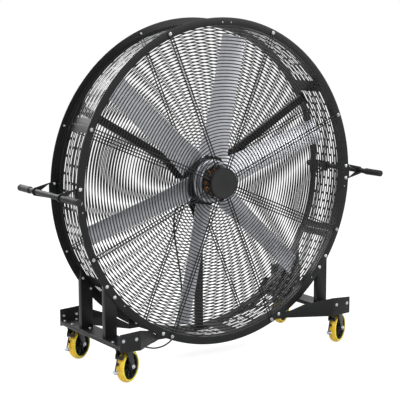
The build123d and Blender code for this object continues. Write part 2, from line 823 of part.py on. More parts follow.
# --- motor lead ---
def lead_route():
    """Points of the lead: out of the motor mount, down behind the struts, out of the drum, a slack
    loop under it, then along the back of the rear ring and up into the control box."""
    inside = [(-50, strut_front, 830), (-50, 104, 830), (-66, 120, 808), (-102, 125, 776), (-128, 124, 728),
              (-131, 122, 660), (-122, 123, 580), (-109, 121, 500), (-95, 122, 420), (-86, 121, 340),
              (-88, 114, 265), (-112, 80, 192)]
    slack = [lead_exit, (-160, 69, 104), (-182, 75, 68), (-219, 86, 43), (-270, 94, 35), (-318, 104, 47),
             (-340, 128, 58), (-322, 150, 52), (-280, 157, 44), (-235, 153, 55), (-196, 147, 78)]
    radius = ring_outer_radius - lead_radius + 0.7
    back = -front_face + lead_radius + seat_gap
    clipped = [(radius * cos(radians(angle)), back, axis_height + radius * sin(radians(angle)))
               for angle in (-101, -95, -89, -83, -77, -71.5)]
    rising = [(340, 150, 140), (425, 163, 146), (505, 174, 148), (570, 180, 160), (596, 180, 184),
              (596, 180, box_bottom)]
    return inside + slack + clipped + rising


def swept_lead(points, closed_radius):
    """A faceted tube on straight runs joined by tangent arcs."""
    points = [Vector(*point) for point in points]
    radii = []
    for before, corner, after in zip(points, points[1:], points[2:]):
        turn = radians((corner - before).get_angle(after - corner))
        shorter = min((corner - before).length, (after - corner).length)
        radii.append(0.45 * shorter / tan(turn / 2))
    print("lead radii", [round(radius) for radius in radii])
    path = FilletPolyline(*points, radius=radii)
    start = Plane(origin=points[0], z_dir=points[1] - points[0])
    tube = sweep(start * RegularPolygon(closed_radius, lead_sides), path=path)
    print("lead volume ratio", tube.volume / (RegularPolygon(closed_radius, lead_sides).area * path.length))
    return tube


# --- all nodes ---
front_ring = angle_ring()
spokes = grille_spokes()
wires = group(grille_rings())
save("drum_panels", group(drum_panels()))
save("front_ring", front_ring)
save("rear_ring", to_rear(front_ring))
save("front_grille_spokes", spokes)
save("rear_grille_spokes", to_rear(spokes))
save("front_grille_rings", wires)
save("rear_grille_rings", to_rear(wires))
save("front_cap", centred_disc(cap_radius, spoke_face, spoke_face - cap_thickness))
save("rear_cap", centred_disc(cap_radius, -spoke_face + rear_cap_thickness, -spoke_face))

save("struts", group([strut(first_strut_angle + index * 360 / strut_count) for index in range(strut_count)]))
save("motor_mount", motor_mount())
save("motor_shaft", group([slab(disc(shaft_radius, round_sides), shaft_rear, shaft_front), shaft_nut()]))
bearing = annulus(bearing_radius, shaft_radius, round_sides)
bearing_places = (bell_front + bell_face, bell_rear - bearing_width)
save("motor_bearings", group([slab(bearing, place + bearing_width, place) for place in bearing_places]))
save("stator_core", stator_core())
save("stator_coils", group(stator_coils()))
save("rotor_bell", group([rotor_bell(), bell_cover()]))
save("rotor_magnets", group(magnets()))
save("hub_drum", slab(annulus(hub_radius, bell_radius, case_sides), hub_rear, hub_front))
save("hub_plate", slab(annulus(hub_plate_radius, bell_radius, case_sides),
                       hub_front, hub_front - hub_plate_thickness))
for index in range(blade_count):
    save(f"blade_{index + 1}", blade(index))
save("blade_roots", group([blade_root(index) for index in range(blade_count)]))

left_tube = handle_tube()
front_left_grip = handle_grip()
front_left_bracket = handle_bracket()
save("handle_tubes", group([left_tube, to_right(left_tube)]))
left_grips = [front_left_grip, to_rear(front_left_grip)]
save("handle_grips", group(left_grips + [to_right(grip) for grip in left_grips]))
left_brackets = [front_left_bracket, to_rear(front_left_bracket)]
save("handle_brackets", group(left_brackets + [to_right(bracket) for bracket in left_brackets]))

left_platform = platform()
save("platform_left", left_platform)
save("platform_right", to_right(left_platform))
for name, piece in (("posts", post()), ("beams", beam())):
    pair = group([piece, to_rear(piece)])
    save(f"{name}_left", pair)
    save(f"{name}_right", to_right(pair))

swivels = {"front_left": (-1, -1), "rear_left": (-1, 1), "front_right": (1, -1), "rear_right": (1, 1)}
plates = []
for name, (side, end) in swivels.items():
    place = Pos(side * platform_centre, end * caster_y, 0)
    heading = place * Rot(0, 0, caster_heading)
    plates.append(place * caster_plate())
    save(f"caster_fork_{name}", group([heading * fork(), heading * axle()]))
    save(f"caster_tyre_{name}", heading * on_axle(tyre()))
    save(f"caster_core_{name}", heading * on_axle(wheel_core()))
    save(f"brake_pedal_{name}", heading * brake())
save("caster_plates", group(plates))

save("frame_bolts", group(frame_bolts()))
save("control_box", control_box())
save("control_lid", control_lid())
save("speed_knob", speed_knob())
save("power_switch", power_switch())
save("motor_lead", swept_lead(lead_route(), lead_radius))
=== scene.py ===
import json
from math import atan2, cos, hypot, pi, radians, sin, sqrt

import bmesh
import bpy
from mathutils import Matrix, Vector


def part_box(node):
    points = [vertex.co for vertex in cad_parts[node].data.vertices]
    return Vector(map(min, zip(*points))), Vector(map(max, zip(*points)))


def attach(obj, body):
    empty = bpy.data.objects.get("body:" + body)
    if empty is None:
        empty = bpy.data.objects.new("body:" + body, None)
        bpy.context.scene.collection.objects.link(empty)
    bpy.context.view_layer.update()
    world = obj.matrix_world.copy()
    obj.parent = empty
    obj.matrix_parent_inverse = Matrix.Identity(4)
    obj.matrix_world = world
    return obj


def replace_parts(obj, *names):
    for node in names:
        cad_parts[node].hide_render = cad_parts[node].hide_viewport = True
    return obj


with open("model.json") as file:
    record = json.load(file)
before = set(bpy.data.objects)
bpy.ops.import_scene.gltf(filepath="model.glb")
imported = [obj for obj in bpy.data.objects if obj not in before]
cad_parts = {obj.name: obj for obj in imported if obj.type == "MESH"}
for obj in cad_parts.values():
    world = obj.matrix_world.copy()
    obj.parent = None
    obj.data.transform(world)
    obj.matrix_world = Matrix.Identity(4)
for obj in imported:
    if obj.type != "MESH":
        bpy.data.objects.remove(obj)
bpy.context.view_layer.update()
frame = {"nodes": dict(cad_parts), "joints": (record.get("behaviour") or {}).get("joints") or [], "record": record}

# The drum fan's looks. Metres. The fan axis runs along Y, the front faces -Y, Z is up.
NODES = frame["nodes"]
BODY_OF = {node: body for body, nodes in frame["record"]["behaviour"]["bodies"].items() for node in nodes}
JOINTS = {joint["name"]: joint for joint in frame["joints"]}


def span(node):
    """A round node's radius, and where it starts and ends along the fan axis."""
    low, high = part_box(node)
    return (high.x - low.x) / 2, low.y, high.y


# --- places taken from the frame
AXIS = Vector(JOINTS["fan_spin"]["pos_m"])
RING_OUTER, FRONT_FACE, SLEEVE_END = span("front_ring")
DRUM_OUTER, _, DRUM_HALF = span("drum_panels")
PLATFORM_X, CASTER_Y = [abs(part) for part in JOINTS["swivel_turn_front_left"]["pos_m"][:2]]

# --- sizes that several pieces share
RING_SHEET = 0.004
DRUM_SHEET = 0.0015
DRUM_BORE = DRUM_OUTER - DRUM_SHEET
RING_BORE = DRUM_OUTER + 0.0003
BOLT_CIRCLE = (RING_BORE + RING_SHEET + RING_OUTER) / 2


# --- materials
class Nodes:
    """Adds the shader nodes of one material or world."""

    def __init__(self, owner):
        self.owner = owner
        self.owner.use_nodes = True
        self.tree = owner.node_tree
        self.tree.nodes.clear()

    def add(self, kind, inputs=None, **settings):
        """A shader node. An input is a value, or the pair (node, output) that it is linked to."""
        node = self.tree.nodes.new(f"ShaderNode{kind}")
        for key, value in settings.items():
            setattr(node, key, value)
        for key, value in (inputs or {}).items():
            if isinstance(value, tuple) and isinstance(value[0], bpy.types.Node):
                self.tree.links.new(value[0].outputs[value[1]], node.inputs[key])
            else:
                node.inputs[key].default_value = value
        return node


# sockets of the mix node when it mixes colours
MIX_A = 6
MIX_B = 7
MIX_RESULT = 2
# edges painted paler, partly as rubbed wear and partly as a painted highlight along them: where the paling starts
# and ends, how much shows, and how pale it is
WEAR_AND_HIGHLIGHT_START = 0.53
WEAR_AND_HIGHLIGHT_FULL = 0.62
WEAR_AND_HIGHLIGHT_SHARE = 0.5
WEAR_AND_HIGHLIGHT_GAIN = 1.9


def rgba(colour):
    return (*colour, 1)


def surface(name, slot, base, worn, roughness, cloud, grain, metallic=0, bump=0.12, depth=0.0004,
            stretch=(1, 1, 1), patchiness=0.5, **sockets):
    """A finish with cloudy colour, uneven gloss, a fine grain in its relief and paler edges: partly rubbed wear,
    partly a painted edge highlight.
    """
    n = Nodes(bpy.data.materials.new(name))
    place = n.add("TexCoord")
    mapping = n.add("Mapping", {"Vector": (place, "Object"), "Scale": stretch})
    spot = (mapping, "Vector")
    clouds = n.add("TexNoise", {"Vector": spot, "Scale": cloud, "Detail": 5, "Roughness": 0.6})
    fine = n.add("TexNoise", {"Vector": spot, "Scale": grain, "Detail": 2, "Roughness": 0.5})
    relief = n.add("Bump", {"Height": (fine, "Fac"), "Strength": bump, "Distance": depth})
    tint = n.add("ValToRGB", {"Fac": (clouds, "Fac")})
    for element, way, colour in zip(tint.color_ramp.elements, (-1, 1), (base, worn)):
        element.position = 0.5 + way * patchiness / 2
        element.color = rgba(colour)
    # convex edges painted paler: partly rubbed wear, partly a painted highlight along the edge
    edges = n.add("NewGeometry")
    wear_and_highlight = n.add("MapRange", {"Value": (edges, "Pointiness"), "From Min": WEAR_AND_HIGHLIGHT_START,
                             "From Max": WEAR_AND_HIGHLIGHT_FULL, "To Min": 0, "To Max": WEAR_AND_HIGHLIGHT_SHARE})
    pale = rgba([min(1, WEAR_AND_HIGHLIGHT_GAIN * part) for part in worn])
    worn_and_highlit_colour = n.add("Mix", {"Factor": (wear_and_highlight, "Result"), MIX_A: (tint, "Color"), MIX_B: pale},
                   data_type="RGBA")
    low, high = roughness
    gloss = n.add("MapRange", {"Value": (clouds, "Fac"), "To Min": low, "To Max": high})
    shader = n.add("BsdfPrincipled", {
        "Base Color": (worn_and_highlit_colour, MIX_RESULT), "Roughness": (gloss, "Result"), "Normal": (relief, "Normal"),
        "Metallic": metallic, **sockets})
    n.add("OutputMaterial", {"Surface": (shader, "BSDF")})
    return n.owner


DULL = {"Specular IOR Level": 0.28}
WAXY = {"Subsurface Weight": 0.08, "Subsurface Radius": (0.006, 0.003, 0.001)}
POWDER = surface(
    "powder_coat", "black_paint", (0.0037, 0.0039, 0.0045), (0.0072, 0.0075, 0.0083), (0.32, 0.48), 9, 1400,
    bump=0.25, **DULL)
WIRE_PAINT = surface(
    "wire_paint", "wire", (0.0032, 0.0034, 0.004), (0.006, 0.0063, 0.0072), (0.36, 0.5), 20, 1600, **DULL)
CAP_PAINT = surface(
    "cap_paint", "cap", (0.0075, 0.0078, 0.0081), (0.0115, 0.0118, 0.0121), (0.55, 0.65), 24, 1200, bump=0.2,
    **DULL)
BLADE = surface(
    "blade_aluminium", "blade", (0.56, 0.57, 0.605), (0.7, 0.71, 0.75), (0.24, 0.4), 5, 160, metallic=0.7,
    stretch=(0.35, 6, 6), bump=0.1)
HUB_METAL = surface(
    "hub_aluminium", "hub_metal", (0.42, 0.43, 0.46), (0.6, 0.61, 0.64), (0.26, 0.38), 18, 420, metallic=0.95,
    bump=0.04)
CASTING = surface(
    "hub_casting", "hub_cast", (0.007, 0.0073, 0.0082), (0.014, 0.0145, 0.016), (0.42, 0.58), 26, 520,
    bump=0.4, depth=0.0007, **DULL)
ZINC = surface(
    "zinc_plate", "zinc", (0.36, 0.37, 0.385), (0.54, 0.55, 0.57), (0.26, 0.42), 160, 2200, metallic=1)
STEEL = surface(
    "bare_steel", "steel", (0.24, 0.245, 0.255), (0.38, 0.385, 0.395), (0.28, 0.44), 60, 1500, metallic=1)
LAMINATION = surface(
    "laminations", "laminations", (0.06, 0.062, 0.066), (0.13, 0.132, 0.138), (0.35, 0.5), 40, 300,
    metallic=0.9, stretch=(1, 12, 1))
COPPER = surface(
    "winding_copper", "windings", (0.72, 0.2, 0.045), (0.95, 0.36, 0.1), (0.24, 0.4), 70, 1500, metallic=0.35,
    patchiness=0.35)
MAGNET = surface(
    "magnet_plate", "magnet", (0.22, 0.22, 0.235), (0.34, 0.34, 0.355), (0.2, 0.35), 50, 900, metallic=1)
BAR_PAINT = surface(
    "bar_coat", "black_paint", (0.005, 0.0053, 0.0062), (0.0095, 0.0099, 0.0112), (0.52, 0.66), 14, 1100,
    bump=0.2, **DULL)
RUBBER = surface(
    "grip_rubber", "grip", (0.009, 0.0092, 0.01), (0.016, 0.0165, 0.018), (0.55, 0.7), 22, 900, bump=0.35,
    **DULL)
CABLE = surface("cable_sheath", "cable", (0.009, 0.009, 0.01), (0.017, 0.017, 0.018), (0.45, 0.58), 60, 1500)
TYRE = surface(
    "tyre_polyurethane", "tyre", (0.66, 0.41, 0.012), (0.8, 0.53, 0.025), (0.3, 0.46), 16, 700, bump=0.15,
    **WAXY)
CASTER_BLACK = surface(
    "caster_black", "core", (0.0065, 0.0068, 0.0075), (0.012, 0.0125, 0.0135), (0.4, 0.55), 30, 600, bump=0.3,
    **DULL)
PEDAL = surface(
    "pedal_steel", "pedal", (0.34, 0.38, 0.45), (0.5, 0.55, 0.63), (0.28, 0.42), 45, 1100, metallic=0.85)
PLASTIC = surface(
    "box_plastic", "box_plastic", (0.012, 0.012, 0.013), (0.02, 0.02, 0.021), (0.45, 0.6), 40, 1300, bump=0.3)
POINTER = surface("knob_mark", "box_plastic", (0.62, 0.62, 0.6), (0.74, 0.74, 0.72), (0.4, 0.55), 40, 1300)
TIE = surface("tie_nylon", "cable", (0.011, 0.011, 0.012), (0.018, 0.018, 0.019), (0.35, 0.48), 50, 1200)
SWITCH = surface(
    "switch_red", "switch_plastic", (0.28, 0.01, 0.008), (0.36, 0.016, 0.012), (0.22, 0.32), 40, 900)

# --- mesh helpers
# an edge of an eased CAD node is bevelled where it bends by more than this
SHARP_BEND = radians(28)
MERGE_REACH = 2e-6
# steps per metre of the grid that a wall's points are put on, so that its cells share them
GRID = 1e6
# a profile that ends closer to the axis than this ends on it
ON_AXIS = 1e-9
UP = Vector((0, 0, 1))


def linked(name, data, place=Matrix()):
    """A new object of the scene, at its place."""
    thing = bpy.data.objects.new(name, data)
    bpy.context.scene.collection.objects.link(thing)
    thing.matrix_world = place
    return thing


def piece(name, mesh, material, body, smooth, place=Matrix()):
    """A piece that rides on a body, in a finish. Edges sharper than smooth stay sharp."""
    mesh.materials.clear()
    mesh.materials.append(material)
    mesh.shade_smooth()
    mesh.set_sharp_from_angle(angle=radians(smooth))
    thing = linked(name, mesh, place)
    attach(thing, body)
    return thing


def around(radius, angle, y):
    """A point at an angle from +X towards +Z about the fan axis."""
    return Vector((AXIS.x + radius * cos(angle), y, AXIS.z + radius * sin(angle)))


class Build:
    """Collects the points and faces of one mesh."""

    def __init__(self):
        self.points = []
        self.faces = []

    def add(self, points, faces, place=Matrix()):
        first = len(self.points)
        self.points += [place @ Vector(point) for point in points]
        way = -1 if place.determinant() < 0 else 1
        self.faces += [[first + i for i in face][::way] for face in faces]

    def turn(self, profile, sides, place, closed=True):
        self.add(*lathe(profile, sides, closed), place)

    def block(self, sizes, place, middle=(0, 0, 0)):
        self.add(*plate(*sizes), place @ shift(*middle))

    def make(self, name, material, body="frame", smooth=30, place=Matrix()):
        mesh = bpy.data.meshes.new(name)
        mesh.from_pydata([tuple(point) for point in self.points], [], self.faces)
        mesh.validate()
        return piece(name, mesh, material, body, smooth, place)


def lathe(profile, sides, closed=True):
    """Points and faces of a (radius, height) profile turned about local Z. An open one starts on the axis."""
    count = len(profile)
    points = []
    for step in range(sides):
        angle = 2 * pi * step / sides
        points += [(r * cos(angle), r * sin(angle), h) for r, h in profile]
    faces = []
    for step in range(sides):
        a, b = step * count, (step + 1) % sides * count
        for i in range(count if closed else count - 1):
            j = (i + 1) % count
            faces.append((a + i, b + i, b + j, a + j))
    if not closed and profile[-1][0] > ON_AXIS:
        faces.append([step * count + count - 1 for step in range(sides)])
    return points, faces


def turned(name, profile, sides, material, body="frame", smooth=35, place=None, closed=True):
    """A piece made of one profile turned about the fan axis, or about the local Z of its place."""
    build = Build()
    build.turn(profile, sides, place or fan_place(), closed)
    return build.make(name, material, body, smooth)


def shift(x, y, z):
    return Matrix.Translation((x, y, z))


def fan_place(y=0, way=1, x=AXIS.x):
    """Local X to +X and local Z along the fan axis, to the rear, or to the front where way is -1."""
    return Matrix(((1, 0, 0, x), (0, 0, way, y), (0, -1, 0, AXIS.z), (0, 0, 0, 1)))


def aim(origin, direction, twist=0):
    """A place whose local Z points along a direction."""
    turn = Vector(direction).to_track_quat("Z", "Y").to_matrix().to_4x4()
    return Matrix.Translation(origin) @ turn @ Matrix.Rotation(twist, 4, "Z")


def rounded(profile, radius, steps=3):
    """Rounds the corners of a closed (x, y) outline."""
    out = []
    for i, corner in enumerate(profile):
        here = Vector(corner)
        back = Vector(profile[i - 1]) - here
        ahead = Vector(profile[(i + 1) % len(profile)]) - here
        reach = min(radius, back.length * 0.45, ahead.length * 0.45)
        a, b = here + back.normalized() * reach, here + ahead.normalized() * reach
        for step in range(steps + 1):
            t = step / steps
            out.append(tuple((1 - t) ** 2 * a + 2 * t * (1 - t) * here + t ** 2 * b))
    return out


def band(inner, outer, low, high, ease, steps=3):
    """The rounded four-cornered profile of a ring, from its inner to its outer radius."""
    return rounded([(inner, low), (outer, low), (outer, high), (inner, high)], ease, steps)


def joined(rows, count, loop=False):
    """The faces between rows of points, each row a ring of count, and the two ends where it isn't a loop."""
    faces = []
    for row in range(rows if loop else rows - 1):
        a, b = row * count, (row + 1) % rows * count
        faces += [(a + k, a + (k + 1) % count, b + (k + 1) % count, b + k) for k in range(count)]
    if not loop:
        faces += [list(range(count))[::-1], [(rows - 1) * count + k for k in range(count)]]
    return faces


def tube(path, radius, sides, closed=False):
    """Points and faces of a round tube along a list of points."""
    count = len(path)
    path = [Vector(p) for p in path]
    points = []
    last = None
    for i in range(count):
        ahead = path[(i + 1) % count] if closed or i < count - 1 else path[i]
        behind = path[i - 1] if closed or i > 0 else path[i]
        way = (ahead - behind).normalized()
        if last is None:
            last = way.orthogonal().normalized()
        last = (last - way * last.dot(way)).normalized()
        side = way.cross(last)
        for k in range(sides):
            angle = 2 * pi * k / sides
            points.append(path[i] + radius * (cos(angle) * last + sin(angle) * side))
    return points, joined(count, sides, closed)


def plate(x, y, z, edge):
    """A box with cut edges, centred on the origin."""
    work = bmesh.new()
    bmesh.ops.create_cube(work, size=1, matrix=Matrix.Diagonal((x, y, z, 1)))
    bmesh.ops.bevel(work, geom=work.edges[:], offset=edge, segments=2, profile=0.5, affect="EDGES")
    points = [v.co.copy() for v in work.verts]
    faces = [[v.index for v in f.verts] for f in work.faces]
    work.free()
    return points, faces


def islands(work):
    """The separate solids of a mesh, as lists of vertices."""
    left = set(work.verts)
    while left:
        group = [left.pop()]
        for vertex in group:
            found = {edge.other_vert(vertex) for edge in vertex.link_edges} & left
            left -= found
            group += found
        yield group


def dressed(node, material, bevel, pick=None):
    """A copy of a CAD node, or of the solids that pick chooses, with eased edges, in the node's place."""
    mesh = NODES[node].data.copy()
    work = bmesh.new()
    work.from_mesh(mesh)
    bmesh.ops.remove_doubles(work, verts=work.verts, dist=MERGE_REACH)
    if pick:
        for group in list(islands(work)):
            middle = sum((vertex.co for vertex in group), Vector()) / len(group)
            if not pick(NODES[node].matrix_world @ middle):
                bmesh.ops.delete(work, geom=group, context="VERTS")
    bmesh.ops.dissolve_limit(work, angle_limit=radians(1), verts=work.verts, edges=work.edges)
    sharp = [edge for edge in work.edges
             if len(edge.link_faces) == 2 and edge.calc_face_angle(0) > SHARP_BEND]
    bmesh.ops.bevel(work, geom=sharp, offset=bevel, segments=2, profile=0.5, affect="EDGES",
                    clamp_overlap=True, offset_type="OFFSET")
    work.to_mesh(mesh)
    work.free()
    thing = piece(f"{node}.eased", mesh, material, BODY_OF[node], 35)
    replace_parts(thing, node)


def walled(cells, place, near, far):
    """A wall made of flat cells: its two skins, near and far, and the edges round each opening."""
    ids = {}
    skin = []
    for cell in cells:
        keys = [(round(u * GRID), round(v * GRID)) for u, v in cell]
        skin.append([ids.setdefault(key, len(ids)) for key in keys])
    points = [place(u / GRID, v / GRID, level) for level in (near, far) for u, v in ids]
    count = len(ids)
    faces = skin + [[i + count for i in reversed(face)] for face in skin]
    edges = {(a, b) for face in skin for a, b in zip(face, face[1:] + face[:1])}
    for a, b in sorted(edges):
        if (b, a) not in edges:
            faces.append([b, a, a + count, b + count])
    return points, faces


# --- drum wall
SLOT_COLUMNS = 11
SLOT_ROW = 0.0176
SLOT_RADIUS = 0.0056
SLOTS_PER_PANEL = 9
SEAM_MARGIN = 0.03
SEAM_GAP = 0.001
PANELS = 6
FIRST_SEAM = radians(36)
CELL_STEPS = 8
SLOT_ARC = [(sin(a), cos(a)) for a in (pi / 4, pi / 2, 3 * pi / 4)]
PANEL_LENGTH = DRUM_OUTER * 2 * pi / PANELS - SEAM_GAP
SLOT_STEP = (PANEL_LENGTH - 2 * SEAM_MARGIN) / SLOTS_PER_PANEL / CELL_STEPS


def flat(a, b, low, high):
    """A flat face of the sheet: a to b round the drum, low to high along the fan axis."""
    return [(a, low), (b, low), (b, high), (a, high)]


def slot_cell(start, steps, y):
    """Flat faces of one cell round one slot, or round half a slot at the end of a row."""
    half = SLOT_ROW / 2
    end = start + steps * SLOT_STEP
    faces = []
    for k in range(1, steps - 1):
        a, b = start + k * SLOT_STEP, start + (k + 1) * SLOT_STEP
        faces += [flat(a, b, y + SLOT_RADIUS, y + half), flat(a, b, y - half, y - SLOT_RADIUS)]
    for edge, centre, way in ((start, start + SLOT_STEP, -1), (end, end - SLOT_STEP, 1)):
        arc = [(centre, y + SLOT_RADIUS)]
        arc += [(centre + way * SLOT_RADIUS * dx, y + SLOT_RADIUS * dy) for dx, dy in SLOT_ARC]
        arc += [(centre, y - SLOT_RADIUS)]
        corner = [(centre, y + half), (edge, y + half), (edge, y), (edge, y - half), (centre, y - half)]
        for i in range(4):
            ring = [corner[i], corner[i + 1], arc[i + 1], arc[i]]
            faces.append(ring if way < 0 else ring[::-1])
    return faces


def wall_faces():
    """Flat faces of one slotted panel."""
    half = SLOT_ROW / 2
    faces = []
    for column in range(SLOT_COLUMNS):
        y = (column - (SLOT_COLUMNS - 1) / 2) * SLOT_ROW
        start = SEAM_MARGIN
        odd = column % 2
        ends = [CELL_STEPS // 2] * odd
        for steps in ends + [CELL_STEPS] * (SLOTS_PER_PANEL - odd) + ends:
            faces += slot_cell(start, steps, y)
            start += steps * SLOT_STEP
    top = SLOT_COLUMNS * half
    rows = [(k - SLOT_COLUMNS) * half for k in range(2 * SLOT_COLUMNS + 1)]
    near = [SEAM_MARGIN * k / 3 for k in range(4)]
    far = [PANEL_LENGTH - edge for edge in reversed(near)]
    grid = near + [SEAM_MARGIN + SLOT_STEP * k for k in range(1, SLOTS_PER_PANEL * CELL_STEPS)] + far
    for a, b in zip(grid, grid[1:]):
        faces += [flat(a, b, -DRUM_HALF, -top), flat(a, b, top, DRUM_HALF)]
    for margin in (near, far):
        for a, b in zip(margin, margin[1:]):
            faces += [flat(a, b, low, high) for low, high in zip(rows, rows[1:])]
    return faces


def drum():
    """Six rolled panels with their slots cut through the sheet."""
    build = Build()
    faces = wall_faces()
    for index in range(PANELS):
        start = FIRST_SEAM + index * 2 * pi / PANELS + SEAM_GAP / 2 / DRUM_OUTER
        build.add(*walled(faces, lambda s, y, radius: around(radius, start + s / DRUM_OUTER, y),
                          DRUM_BORE, DRUM_OUTER))
    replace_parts(build.make("drum_wall", POWDER), "drum_panels")


RING_SIDES = 300


def angle_rings():
    """The two rolled angle rings, with eased edges and a fillet inside the corner."""
    depth = SLEEVE_END - FRONT_FACE
    t = RING_SHEET
    outline = [(RING_BORE, 0), (RING_BORE, depth), (RING_BORE + t, depth), (RING_BORE + t, t),
               (RING_OUTER, t), (RING_OUTER, 0)]
    profile = rounded(outline, 0.0012)
    for name, end in (("front_ring", 1), ("rear_ring", -1)):
        place = fan_place(end * FRONT_FACE, end)
        ring = turned(f"{name}.rolled", profile, RING_SIDES, POWDER, smooth=40, place=place)
        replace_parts(ring, name)


# --- grilles
WIRE = 0.0058
GRILLE_OUTER = 0.79
GRILLE_PITCH = 0.0165
GRILLE_RINGS = 44
# sides of a wire's ring, for rings above a radius
GRILLE_SIDES = ((0.4, 180), (0.2, 120), (0, 72))
SPOKE_WIRE = 0.0062
SPOKE_LAP = 0.006
SPOKE_STOP = 0.009
PAIR_SPACING = 0.016
FIRST_PAIR = 22.5
PAIRS = 8
CENTRE_RING = 0.077
CENTRE_WIDTH = 0.01
CENTRE_DEPTH = 0.005
TAB = (0.003, 0.028, 0.026, 0.0006)
TAB_INSET = 0.0065
CAP_RADIUS = 0.08


def grille(name, end):
    """Concentric wires, pairs of straight wires and the centre ring of one grille."""
    face = end * FRONT_FACE
    out = Build()
    for k in range(GRILLE_RINGS):
        radius = GRILLE_OUTER - k * GRILLE_PITCH
        sides = next(count for least, count in GRILLE_SIDES if radius > least)
        path = [around(radius - WIRE / 2, 2 * pi * i / sides, face + end * WIRE / 2) for i in range(sides)]
        out.add(*tube(path, WIRE / 2, 6, closed=True))
    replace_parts(out.make(f"{name}_wires", WIRE_PAINT, smooth=70), f"{name}_grille_rings")
    out = Build()
    centre = band(CENTRE_RING, CENTRE_RING - CENTRE_WIDTH, 0, CENTRE_DEPTH, 0.0012)
    out.turn(centre, 96, fan_place(face, -end))
    for pair in range(PAIRS):
        angle = radians(FIRST_PAIR + pair * 360 / PAIRS)
        radial = Vector((cos(angle), 0, sin(angle)))
        across = Vector((-sin(angle), 0, cos(angle)))
        for side in (-1, 1):
            base = Vector((AXIS.x, face - end * SPOKE_WIRE / 2, AXIS.z)) + across * side * PAIR_SPACING / 2
            start = base + radial * (CENTRE_RING - SPOKE_LAP)
            stop = base + radial * (BOLT_CIRCLE - SPOKE_STOP)
            out.add(*tube([start, start.lerp(stop, 0.5), stop], SPOKE_WIRE / 2, 8))
        foot = Vector((AXIS.x, face - end * TAB[0] / 2, AXIS.z)) + radial * (BOLT_CIRCLE - TAB_INSET)
        out.block(TAB, aim(foot, radial))
    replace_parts(out.make(f"{name}_spokes", WIRE_PAINT, smooth=50), f"{name}_grille_spokes")


def cap(name, node, end, thickness, edge):
    """A round cover plate with a rolled edge and a shallow dish."""
    profile = [(0, 0), (CAP_RADIUS - 0.0004, 0), (CAP_RADIUS, 0.0006), (CAP_RADIUS, thickness - edge)]
    for k in range(1, 5):
        angle = pi / 2 * k / 4
        profile.append((CAP_RADIUS - edge * (1 - cos(angle)), thickness - edge * (1 - sin(angle))))
    profile += [(CAP_RADIUS * 0.86, thickness), (CAP_RADIUS * 0.82, thickness - 0.0005),
                (0, thickness - 0.0007)]
    place = fan_place(end * (FRONT_FACE - CENTRE_DEPTH), -end)
    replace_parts(turned(name, profile, 128, CAP_PAINT, place=place, closed=False), node)


# --- fasteners
# a hexagon's turned top and bevel, in parts of its radius and its height
HEX_TOP = 0.8556
HEX_DROP = 0.16
HEX_SIDES = 24
# a hexagon bolt's washer and head, in parts of the bolt's size
WASHER_RADIUS = 1.12
WASHER_BORE = 0.45
WASHER_HEIGHT = 0.16
HEAD_RADIUS = 0.92
HEAD_HEIGHT = 0.62
# the straight rim of a round head, in parts of its height
DOME_RIM = 0.22


def hexagon(radius, height):
    """A hexagon with a turned bevel on its top."""
    low = [(radius * cos(pi / 3 * k), radius * sin(pi / 3 * k)) for k in range(6)]
    turns = [2 * pi * k / HEX_SIDES for k in range(HEX_SIDES)]
    points = [(x, y, 0) for x, y in low] + [(x, y, height * (1 - HEX_DROP)) for x, y in low]
    points += [(radius * HEX_TOP * cos(turn), radius * HEX_TOP * sin(turn), height) for turn in turns]
    faces = [list(range(6))[::-1], [12 + k for k in range(HEX_SIDES)]]
    for k in range(6):
        m = (k + 1) % 6
        faces.append([k, m, 6 + m, 6 + k])
        run = [12 + (4 * k + i) % HEX_SIDES for i in range(5)]
        faces.append([6 + k, 6 + m] + run[::-1])
    return points, faces


def washer(radius, bore, height):
    return lathe(band(bore, radius, 0, height, height * 0.3, 2), 28)


def hex_bolt(build, place, size):
    """A hexagon head on a washer, standing on local z = 0."""
    lift = size * WASHER_HEIGHT
    build.add(*washer(size * WASHER_RADIUS, size * WASHER_BORE, lift), place)
    build.add(*hexagon(size * HEAD_RADIUS, size * HEAD_HEIGHT), place @ shift(0, 0, lift))


def dome_bolt(build, place, radius, height):
    """A round coach-bolt head."""
    rim = height * DOME_RIM
    profile = [(0, 0), (radius, 0), (radius, rim)]
    for k in range(1, 7):
        angle = pi / 2 * k / 6
        profile.append((radius * cos(angle) * 0.98, rim + (height - rim) * sin(angle)))
    build.turn(profile, 32, place, closed=False)


def nut(build, place, radius, height, stud):
    """A hexagon nut with the end of its stud."""
    end = height + 0.004
    build.add(*hexagon(radius, height), place)
    profile = [(0, height), (stud, height), (stud, end - 0.001), (stud - 0.0008, end), (0, end)]
    build.turn(profile, 20, place, closed=False)


POST_CENTRE = 0.66
POST_BOLT_STEP = 0.021
POST_DEPTH = 0.03
BEAM_BOLT_X = 0.363
BEAM_SHEET = 0.004
BRACKET_STEP = 0.033
PLATFORM_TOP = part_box("platform_left")[0].z + 0.02
END_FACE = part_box("beams_left")[0].y
END_SHEET = 0.008
END_BOLT_RISE = 0.027
END_BOLTS_X = (-0.034, 0.038)
PLATE_BOLT_X = 0.034
PLATE_BOLT_Y = 0.041
FOOT_BOLT_X = 0.004
FOOT_BOLT_Y = 0.091
# the small screws' angles round the rings, in degrees, and their place off the ring's bore
RING_SCREWS = (-136.2, -43.8, 90.1, 86.4, -5.6, 185.6)
SCREW_INSET = 0.014
# round heads: radius and height; nuts: radius, height and stud; hexagon bolts: size
RING_HEAD = (0.0098, 0.0052)
RING_NUT = (0.0085, 0.007, 0.0048)
END_HEAD = (0.0085, 0.0009)
END_NUT = (0.0078, 0.0065, 0.0042)
SCREW_HEAD = (0.0038, 0.002)
PLATE_BOLT = 0.0075
GRILLE_BOLT = 0.0082
GRILLE_NUT = (0.0075, 0.006, 0.004)


